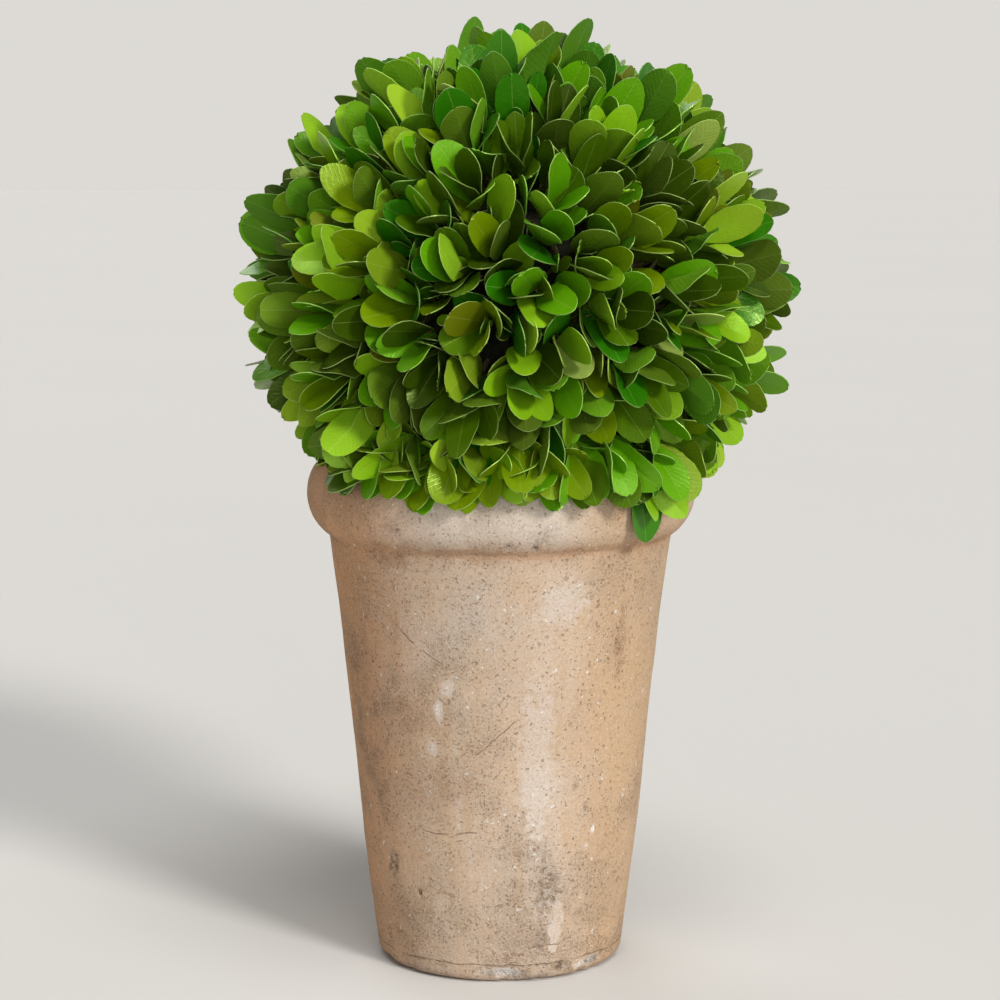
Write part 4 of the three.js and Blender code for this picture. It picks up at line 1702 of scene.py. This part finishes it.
    def clear_pose(self, twig: Twig, plan: LeafPlan) -> LeafPose | None:
        """A leaf's pose, lifted as far as it has to be to clear the pot.

        Args:
            twig: The twig that it is on.
            plan: The leaf's plan.

        Returns:
            The pose, or None where no lift clears it.
        """
        low = plan.root.z < self.pot.height + plan.length
        for step in range(self.lift_steps if low else 1):
            pose = self.lie(twig, plan, step * self.lift_step)
            if not low or self.clear_of_pot(pose.points(self.touch_points)):
                return pose
        return None

    def drawn_in(self, twig: Twig, plan: LeafPlan) -> LeafPlan:
        """Sets a leaf back where its tip would stand out of the outline, which is closer low at the sides.

        Args:
            twig: The twig that it is on.
            plan: The leaf's plan.

        Returns:
            The plan to grow.
        """
        pose = self.lie(twig, plan, 0.0)
        way = pose.root + pose.along * plan.length - self.rule.centre
        aside = abs(way.x) / max(0.001, math.hypot(way.x, way.y))
        closer = smoothstep(-0.020, -0.042, way.z) * smoothstep(0.72, 0.96, aside)
        over = way.length - self.outline - (self.low_outline - self.outline) * closer
        return replace(plan, back=plan.back + max(0.0, over))

    def grow_leaf(self, twig: Twig, root: Vector, plan: LeafPlan, rank: LeafRank = LeafRank.OUTER) -> None:
        """Finds a free pose for a leaf and grows it there.

        Args:
            twig: The twig that it is on.
            root: The point of the twig's middle that it leaves from.
            plan: The leaf's plan.
            rank: How hard a free pose is looked for.
        """
        self.asked += 1
        plan = self.drawn_in(twig, replace(plan, root=root))
        best = None
        for attempt in range(rank.value):
            pose = self.clear_pose(twig, plan.varied(twig.random, attempt))
            if pose is None:
                continue
            points = pose.points(self.test_points)
            tree = BVHTree.FromPolygons(points.tolist(), self.test_faces)
            centre = Vector(points.mean(axis=0))
            cuts = self.standing.cuts(centre, tree)
            if best is None or cuts < best[0]:
                best = (cuts, pose, centre, tree)
            if cuts == 0:
                break
        if best is None or (best[0] and rank is LeafRank.INNER):
            return
        self.standing.add(best[2], best[3])
        template = self.leaf_templates[twig.random.pick(self.form_weights)]
        own = twig.random.next() < self.own_tint_share
        tint = twig.tint if own else dealt_tint(twig.random, twig.radial.z)
        self.leaves[tint].add(template, best[1].points(template.points))

    def leaf(self, random: SeededRandom, turn: float, spread: float, length: float, roll: float) -> LeafPlan:
        """Plans a leaf, with its own random width, bend, cup and twist.

        Args:
            random: Its twig's random numbers.
            turn: Its place round the twig.
            spread: Its angle from the twig, in radians.
            length: Its length.
            roll: Its turn about its own length.

        Returns:
            The plan.
        """
        width = length * (self.width_share + random.around(self.width_jitter))
        bend = self.bend[0] + random.around(self.bend[1])
        cup = self.cup[0] + random.around(self.cup[1])
        wave = random.between(0.0, self.most_wave)
        phase = random.between(0.0, FULL_TURN)
        twist = random.around(self.twist)
        return LeafPlan(turn, spread, roll, length, width, bend, cup, twist, wave, phase)

    def dress_outer(self, sprig: Sprig) -> None:
        """Grows a sprig's first four leaves, on the solids' plans but drawn closer to the twig.

        Args:
            sprig: The sprig.
        """
        closeness = self.closeness if sprig.spreading == 1.0 else self.skirt_closeness
        for place, (turn, spread, length, roll) in enumerate(sprig.plans):
            root = self.rule.end(sprig) - sprig.axis * (self.pair_spacing * (place % 2))
            leaf = self.leaf(sprig.random, sprig.first_twist + turn, spread * closeness, length, roll)
            self.grow_leaf(sprig, root, leaf)

    def dress_whorls(self, twig: Twig, end: Vector, whorls: Sequence[Whorl]) -> None:
        """Grows crosswise pairs of leaves down a twig from its end.

        Args:
            twig: The twig.
            end: Its end.
            whorls: The pairs, from the end down.
        """
        random = twig.random
        for whorl in whorls:
            for half in (0.0, math.pi):
                turn = twig.first_twist + whorl.turn + half + random.around(self.turn_jitter)
                spread_deg = whorl.spread_deg + random.around(self.spread_jitter_deg)
                length = whorl.length + random.around(self.rule.leaf_length_jitter)
                roll = random.around(self.rule.leaf_roll)
                leaf = self.leaf(random, turn, twig.spreading * math.radians(spread_deg), length, roll)
                self.grow_leaf(twig, end - twig.axis * whorl.back, leaf, LeafRank.INNER)

    def dress_side(self, sprig: Sprig, quarter: int) -> None:
        """Grows a side twig from a sprig, with its own pairs of leaves.

        Args:
            sprig: The sprig.
            quarter: Which of the four gaps between the sprig's leaves it grows out by.
        """
        rule, side, random = self.rule, self.side, sprig.random
        gap = sprig.first_twist + math.pi / 4 + math.pi / 2 * quarter
        across = sprig.across(gap + random.around(0.3))
        fork = rule.end(sprig, side.fork_depth)
        lean = math.radians(side.lean_deg + random.around(side.lean_jitter_deg))
        heading = (sprig.axis * math.cos(lean) + across * math.sin(lean)).normalized()
        end = fork + heading * (side.length + random.around(side.length_jitter))
        reach = (end - rule.centre).length + side.leaf_reach + random.between(0, side.reach_jitter)
        end -= sprig.radial * max(0.0, reach - sprig.reach)
        self.add_twig(self.twigs, (fork, fork + sprig.axis * 0.006 + across * 0.003, end), side.radii)
        outward = (end - rule.centre).normalized()
        if sprig.spreading == 1.0:
            outward = rule.combed(outward)
        heading = heading.lerp(outward, side.outward_share).normalized()
        twist = random.between(0, math.pi)
        twig = Twig(sprig.radial, heading, random, twist, sprig.spreading, sprig.tint)
        self.dress_whorls(twig, end, side.whorls)
        self.add_bud(end, heading, 0.0022, 0.0006)

    def dress_fringe(self, sprig: Sprig, half: float) -> None:
        """Grows a twig beside a sprig of the lowest ring, with leaves that hang over the pot's rim.

        Args:
            sprig: The sprig of the ring.
            half: Which way round the ring it grows, as a share of the ring's spacing.
        """
        rule, fringe, random = self.rule, self.fringe, sprig.random
        azimuth = math.atan2(sprig.radial.y, sprig.radial.x) + half * FULL_TURN / rule.skirt_count
        radial = polar_way(fringe.polar + random.around(fringe.polar_jitter), azimuth)
        station = fringe.station + fringe.front_extra * smoothstep(0.0, 0.62, -math.sin(azimuth))
        end = rule.centre + radial * (station + random.around(fringe.station_jitter))
        self.add_arched(rule.end(sprig, fringe.fork_depth), end, 0.003, fringe.radii)
        twig = Twig(radial, radial, random, tint=sprig.tint)
        down = twig.down()
        low = math.radians(fringe.low_deg) if random.next() < fringe.low_share else 0.0
        for turn_deg, spread_deg in fringe.leaf_angles_deg:
            turn = down + math.radians(turn_deg + random.around(12))
            spread = low + math.radians(spread_deg + random.around(5))
            length = fringe.leaf_length + random.around(0.0014)
            leaf = self.leaf(random, turn, spread, length, random.around(0.2))
            leaf.bend = 0.13 + random.around(0.08)
            self.grow_leaf(twig, end, leaf)

    def dress_drops(self) -> None:
        """Grows the few low twigs whose leaves hang over the rim."""
        rule, drops = self.rule, self.drops
        for index, (turn_deg, station) in enumerate(drops.places):
            random = rule.random(drops.number + index)
            radial = polar_way(drops.polar, math.radians(turn_deg - 90.0))
            end = rule.centre + radial * (station + random.around(0.0008))
            fork = rule.centre + radial * self.heart_radius + UP * 0.006
            self.add_arched(fork, end, 0.003, drops.radii)
            twig = Twig(radial, radial, random, tint=dealt_tint(random, radial.z))
            down = twig.down()
            for place, (side_deg, spread_deg) in enumerate(drops.leaf_angles_deg):
                length = rule.leaf_length + random.around(0.001) - drops.shorter * place
                turn = down + math.radians(side_deg + random.around(6))
                leaf = self.leaf(random, turn, math.radians(spread_deg), length, random.around(0.1))
                leaf.bend = drops.leaf_bend
                self.grow_leaf(twig, end, leaf)

    def dress_wisps(self) -> None:
        """Grows the single twigs that stand a little out of the clipped outline."""
        rule, wisps = self.rule, self.wisps
        for index in range(wisps.count):
            random = rule.random(wisps.number + index)
            radial = golden_way(index, wisps.count, wisps.end, random.around(0.2))
            headroom = rule.headroom(radial.z) - rule.leaf_length
            end = rule.centre + radial * min(random.between(*wisps.station), headroom)
            self.add_arched(rule.centre + radial * (self.heart_radius - 0.002), end, 0.001, wisps.radii)
            tint = dealt_tint(random, radial.z)
            twist = random.between(0, math.pi)
            twig = Twig(radial, radial, random, twist, tint=tint)
            for place, spread_deg in enumerate(wisps.spreads_deg):
                turn = twist + math.pi * place + math.pi / 2 * (place // 2)
                spread = math.radians(spread_deg + random.around(5))
                length = rule.leaf_length + random.around(rule.leaf_length_jitter)
                leaf = self.leaf(random, turn, spread, length, random.around(rule.leaf_roll))
                self.grow_leaf(twig, end - radial * wisps.spacing * place, leaf)

    def grow_frame(self, sprigs: Sequence[Sprig]) -> None:
        """Grows the boughs, and each sprig from the bough nearest to it, with its bud and first leaves.

        Args:
            sprigs: The sprigs.
        """
        centre, tip, count = self.rule.centre, self.trunk_tip, self.bough_count
        ends = [centre + golden_way(index, count) * self.bough_reach for index in range(count)]
        ends = [end for end in ends if end.z > tip.z - self.lowest_bough]
        for end in ends:
            path = (tip - UP * 0.004, tip.lerp(end, 0.45) + UP * 0.006, end)
            self.add_twig(self.boughs, path, self.bough_radii)
        for sprig in sprigs:
            self.dress_outer(sprig)
            fork = min(ends, key=lambda end: (end - centre - sprig.radial * self.bough_reach).length)
            drawn = centre + sprig.radial * (self.heart_radius + 0.004)
            self.add_twig(self.twigs, (fork, drawn, self.rule.end(sprig)), self.twig_radii)
            self.add_bud(self.rule.end(sprig), sprig.axis, 0.0026, 0.0008)

    def build(self) -> list[Piece]:
        """Grows the whole ball.

        Returns:
            The leaves, one piece for each tint, then the twigs, boughs, buds and the dark heart.
        """
        sprigs = self.rule.sprigs()
        for sprig in sprigs:
            sprig.tint = dealt_tint(sprig.random, sprig.radial.z)
        self.grow_frame(sprigs)
        self.dress_drops()
        for sprig in sprigs[:self.rule.skirt_count]:
            for half in (-0.25, 0.25):
                self.dress_fringe(sprig, half)
        self.dress_wisps()
        for sprig in sprigs:
            quarter = sprig.random.pick((1, 1, 1, 1))
            for step in (0, 2, 1, 3):
                self.dress_side(sprig, quarter + step)
        for sprig in sprigs:
            self.dress_whorls(sprig, self.rule.end(sprig), self.end_whorls)
        grown = sum(len(kind.copies) for kind in self.leaves)
        log.info("%d leaves stand, of %d that were tried", grown, self.asked)
        kinds = (*self.leaves, self.twigs, self.boughs, self.buds)
        return [kind.build() for kind in kinds] + [self.build_heart()]

    def build_heart(self) -> Piece:
        """Models the tangled middle of the ball, cut flat over the soil; its near-black finish is painted
        shade for the shaded twigs inside.

        Returns:
            The piece.
        """
        bm = bmesh.new()
        bmesh.ops.create_icosphere(bm, subdivisions=5, radius=self.heart_radius)
        for vert in bm.verts:
            way = vert.co.normalized()
            tangle = noise.noise(vert.co * 130.0) + 0.7 * noise.noise(vert.co * 300.0)
            vert.co += way * self.tangle_depth * tangle
        bmesh.ops.translate(bm, verts=bm.verts, vec=self.rule.centre)
        cut = bmesh.ops.bisect_plane(
            bm, geom=bm.verts[:] + bm.edges[:] + bm.faces[:],
            plane_co=(0, 0, self.trunk_tip.z - self.heart_clearance), plane_no=-UP, clear_outer=True,
        )
        rim = [item for item in cut["geom_cut"] if isinstance(item, bmesh.types.BMEdge)]
        bmesh.ops.edgenet_fill(bm, edges=rim)
        bmesh.ops.recalc_face_normals(bm, faces=bm.faces)
        return finished_piece("dark_heart", bm)

    def dress(self, pieces: Sequence[Piece], effects: SharedEffects) -> None:
        """Gives the ball's pieces their finishes and their body, and hides the solid that they stand for.

        Args:
            pieces: What build returned.
            effects: The shared node groups.
        """
        bark = EarthyFinish("twig_bark", (0.05, 0.042, 0.018), (0.13, 0.115, 0.045), 160.0, 900.0)
        # The tangle of twigs in the ball's middle, its near-black colour painted shade.
        tangle = EarthyFinish("tangle_painted_shade", (0.006, 0.007, 0.003), (0.022, 0.020, 0.009), 110.0, 500.0)
        budded = EarthyFinish("bud_scales", (0.12, 0.10, 0.035), (0.24, 0.22, 0.08), 300.0, 1200.0)
        for piece, tint in zip(pieces, TINTS):
            for part in LeafPart:
                piece.data.materials.append(tint.material(part, effects))
            settle(piece, None, "clipped_ball")
        finishes = ((bark, "foliage"), (bark, "bark"), (budded, "foliage"), (tangle, "foliage"))
        for piece, (finish, slot) in zip(pieces[len(TINTS):], finishes):
            settle(piece, finish.material(effects), "clipped_ball")


@dataclass
class HiddenTrunk:
    """The short stem in the foot of the ball, with its root flare, lean and rough bark."""

    foot: float
    tip: float
    foot_radius: float = 0.0072
    tip_radius: float = 0.0046
    flare: float = 0.0042
    flare_fade: float = 0.005
    flare_lobes: int = 5
    lobe_depth: float = 0.14
    lean: float = 0.0045
    lean_bend: float = 1.5
    rings: int = 34
    sides: int = 48
    bark_depth: float = 0.0005

    def centre(self, share: float) -> Vector:
        """The stem's middle at a share of its height."""
        height = self.foot + (self.tip - self.foot) * share
        return Vector((self.lean * share**self.lean_bend, 0.0, height))

    def build(self) -> Piece:
        """Raises the stem ring by ring from its flat cut.

        Returns:
            The trunk.
        """
        bm = bmesh.new()
        ring = bmesh.ops.create_circle(bm, cap_ends=True, segments=self.sides, radius=1.0)["verts"]
        edges = list({edge for vert in ring for edge in vert.link_edges if not edge.is_manifold})
        self.shape(ring, 0.0)
        for step in range(1, self.rings + 1):
            grown = bmesh.ops.extrude_edge_only(bm, edges=edges)["geom"]
            ring = [item for item in grown if isinstance(item, bmesh.types.BMVert)]
            edges = [item for item in grown if isinstance(item, bmesh.types.BMEdge) and item.is_boundary]
            self.shape(ring, step / self.rings)
        bmesh.ops.edgenet_fill(bm, edges=edges)
        bmesh.ops.recalc_face_normals(bm, faces=bm.faces)
        return finished_piece("trunk_bark", bm)

    def shape(self, ring: Sequence[bmesh.types.BMVert], share: float) -> None:
        """Sets one ring of the stem to its size, its lobes and its bark.

        Args:
            ring: The ring's vertices.
            share: Its share of the stem's height.
        """
        middle = self.centre(share)
        fade = math.exp(-(middle.z - self.foot) / self.flare_fade)
        radius = self.foot_radius + (self.tip_radius - self.foot_radius) * share + self.flare * fade
        previous = sum((vert.co for vert in ring), Vector()) / len(ring)
        for vert in ring:
            away = vert.co - previous
            turn = math.atan2(away.y, away.x)
            lobe = 1 + self.lobe_depth * fade * math.cos(self.flare_lobes * turn)
            probe = round_axis(2.4, turn, middle.z * 55)
            ridges = noise.noise(probe * 1.7) + 0.6 * noise.noise(probe * 4.1)
            vert.co = middle + round_axis(radius * lobe - self.bark_depth * (1 + ridges), turn, 0.0)

    def dress(self, piece: Piece, effects: SharedEffects) -> None:
        """Gives the trunk its bark and its body, and hides the solid that it stands for."""
        browns = ((0.07, 0.05, 0.03), (0.22, 0.17, 0.10))
        bark = EarthyFinish("trunk_bark", *browns, 90.0, 700.0, (1.0, 1.0, 0.2))
        settle(piece, bark.material(effects), "trunk")


@dataclass
class DrySoil:
    """The dry filling in the pot's mouth: a crumbly top on a plug that fits the cavity."""

    pot: WeatheredPot
    top: float
    crown: float = 0.0016
    flat_radius: float = 0.016
    gap: float = 0.0003
    sides: int = 160
    ring_spacing: float = 0.0014
    lumps: float = 0.0007
    crumb_count: int = 320
    crumb_ring: Pair = (0.022, 0.0015)
    crumb_size: Pair = (0.0004, 0.0012)
    seed: int = 611

    def edge(self) -> float:
        """The radius of the soil's edge."""
        return self.pot.cavity_radius(self.top - self.crown) - self.gap

    def surface(self, radius: float) -> float:
        """The soil's height at a distance from the pot's axis."""
        share = min(1.0, max(0.0, (self.edge() - radius) / (self.edge() - self.flat_radius)))
        return self.top - self.crown * (1 - math.sin(share * math.pi / 2))

    def build(self) -> Piece:
        """Turns the plug, and crumbles its top.

        Returns:
            The filling.
        """
        floor = self.pot.floor_height + self.gap
        outline = [(0.0, floor), (self.pot.cavity_radius(floor) - self.gap, floor)]
        rings = stations(self.edge(), 0.0, self.ring_spacing)
        outline += [(radius, self.surface(radius)) for radius in rings]
        bm = turned(outline, self.sides)
        for vert in bm.verts:
            radius = math.hypot(vert.co.x, vert.co.y)
            on_top = vert.co.z > self.top - 2 * self.crown
            if on_top and self.flat_radius < radius < self.edge() - 0.0005:
                lump = noise.noise(vert.co * 260.0) + 0.6 * noise.noise(vert.co * 620.0)
                vert.co.z += self.lumps * min(0.4, lump)
        return finished_piece("dry_soil", bm, 80.0)

    def crumbs(self) -> Piece:
        """Scatters crumbs over the soil that shows between the ball and the rim.

        Returns:
            The crumbs, as one piece.
        """
        template = Template.lump()
        kind = Kind("soil_crumbs")
        random = SeededRandom(self.seed)
        inner = self.crumb_ring[0]
        outer = self.pot.cavity_radius(self.top) - self.crumb_ring[1]
        for _ in range(self.crumb_count):
            radius = math.sqrt(random.between(inner**2, outer**2))
            turn = random.between(0, FULL_TURN)
            size = random.between(*self.crumb_size)
            spin = Quaternion((random.around(1), random.around(1), random.around(1)), random.between(0, 3))
            shape = Vector((random.between(0.7, 1.2), random.between(0.6, 1.0), random.between(0.5, 0.8)))
            middle = round_axis(radius, turn, self.surface(radius) + 0.3 * size)
            kind.add(template, [middle + spin @ (Vector(point) * shape * size) for point in template.points])
        return kind.build()

    def dress(self, pieces: Sequence[Piece], effects: SharedEffects) -> None:
        """Gives the filling and its crumbs their earth and their body, and hides the solid that they stand
        for.

        Args:
            pieces: The filling and its crumbs.
            effects: The shared node groups.
        """
        earth = EarthyFinish("dry_earth", (0.028, 0.018, 0.011), (0.095, 0.062, 0.038), 140.0, 800.0)
        material = earth.material(effects)
        for piece in pieces:
            settle(piece, material, "pot_fill")


@dataclass(frozen=True)
class SoftLight:
    """One broad, even lamp: where it stands round the plant, its power, its breadth and its colour."""

    name: str
    azimuth_deg: float
    elevation_deg: float
    strength: float
    breadth_deg: float
    colour: Colour = (1.0, 1.0, 1.0)

    def build(self) -> None:
        """Hangs the lamp: its azimuth is counted from the camera's side towards the right."""
        data = bpy.data.lights.new(self.name, "SUN")
        data.energy = self.strength
        data.angle = math.radians(self.breadth_deg)
        data.color = self.colour
        lamp = bpy.data.objects.new(self.name, data)
        tilt = math.radians(90 - self.elevation_deg)
        lamp.rotation_euler = (tilt, 0.0, math.radians(self.azimuth_deg))
        bpy.context.scene.collection.objects.link(lamp)


@dataclass
class Studio:
    """A plain pale floor, soft light, and a camera a little above the rim that looks slightly down."""

    camera_place: Vector = Vector((0.0, -0.862, 0.267))
    camera_pitch_deg: float = 7.7
    lens: float = 95.7
    sensor: float = 36.0
    floor_radius: float = 14.0
    floor_gap: float = 0.0002
    floor_colour: Colour = (0.616, 0.602, 0.578)
    floor_unevenness: float = 1.012
    horizon: Colour = (0.722, 0.701, 0.666)
    zenith: Colour = (0.165, 0.163, 0.160)
    lamps: tuple[SoftLight, ...] = (
        SoftLight("key_light", 39.0, 28.0, 2.40, 13.0, (1.0, 0.985, 0.955)),
        SoftLight("front_light", 9.0, 3.0, 1.02, 26.0),
        SoftLight("left_light", -60.0, 14.0, 0.05, 30.0, (1.0, 0.96, 0.90)),
        SoftLight("top_light", 20.0, 68.0, 1.42, 30.0),
        SoftLight("back_light", 200.0, 38.0, 0.80, 40.0),
    )

    def build(self) -> None:
        """Sets up the floor, the lamps, the sky and the camera."""
        self.build_floor()
        for lamp in self.lamps:
            lamp.build()
        self.build_sky()
        view = bpy.context.scene.view_settings
        view.view_transform = "Standard"
        view.look = "None"
        self.build_camera()

    def build_sky(self) -> None:
        """Surrounds the plant with a plain soft glow, palest low down where it meets the floor."""
        world = bpy.data.worlds.new("studio_sky")
        world.use_nodes = True
        bpy.context.scene.world = world
        tree = NodeTree(world.node_tree)
        height = tree.split(tree.add("ShaderNodeTexCoord").outputs["Generated"])[2]
        glow = tree.mix(tree.rise(height, 0.06, 0.42), self.horizon, self.zenith)
        tree.feed(world.node_tree.nodes["Background"], {"Color": glow})

    def build_floor(self) -> None:
        """Lays the round pale floor."""
        bm = bmesh.new()
        bmesh.ops.create_circle(bm, cap_ends=True, segments=96, radius=self.floor_radius)
        bmesh.ops.translate(bm, verts=bm.verts, vec=(0.0, 0.0, -self.floor_gap))
        floor = finished_piece("floor", bm)
        material, tree, shader = new_material("pale_floor")
        cloud = tree.rise(tree.noise(tree.place(), 1.5), 0.3, 0.7)
        paler = tuple(self.floor_unevenness * channel for channel in self.floor_colour)
        colour = tree.mix(cloud, self.floor_colour, paler)
        tree.feed(shader, {"Base Color": colour, "Roughness": 0.85, "Specular IOR Level": 0.1})
        floor.data.materials.append(material)

    def build_camera(self) -> None:
        """Stands the camera where the photograph was taken from."""
        data = bpy.data.cameras.new("camera")
        data.lens = self.lens
        data.sensor_width = self.sensor
        camera = bpy.data.objects.new("camera", data)
        camera.location = self.camera_place
        camera.rotation_euler = (math.radians(90 - self.camera_pitch_deg), 0.0, 0.0)
        bpy.context.scene.collection.objects.link(camera)
        bpy.context.scene.camera = camera


def main() -> None:
    """Builds the plant from the pot up, dresses it, and sets the studio round it."""
    logging.basicConfig(level=logging.INFO, format="%(message)s")
    effects = SharedEffects()
    pot_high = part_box("pot")[1]
    pot = WeatheredPot(rim_radius=pot_high.x, height=pot_high.z)
    pot.dress(pot.build(), effects)
    soil = DrySoil(pot, top=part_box("pot_fill")[1].z)
    soil.dress([soil.build(), soil.crumbs()], effects)
    trunk_low, trunk_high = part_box("trunk")
    trunk = HiddenTrunk(foot=trunk_low.z, tip=trunk_high.z)
    trunk.dress(trunk.build(), effects)
    rule = SprigRule(centre=Vector((0.0058, 0.0, 0.2155)))
    ball = LeafyBall(rule, pot, trunk.centre(1.0))
    ball.dress(ball.build(), effects)
    Studio().build()


if __name__ == "__main__":
    main()
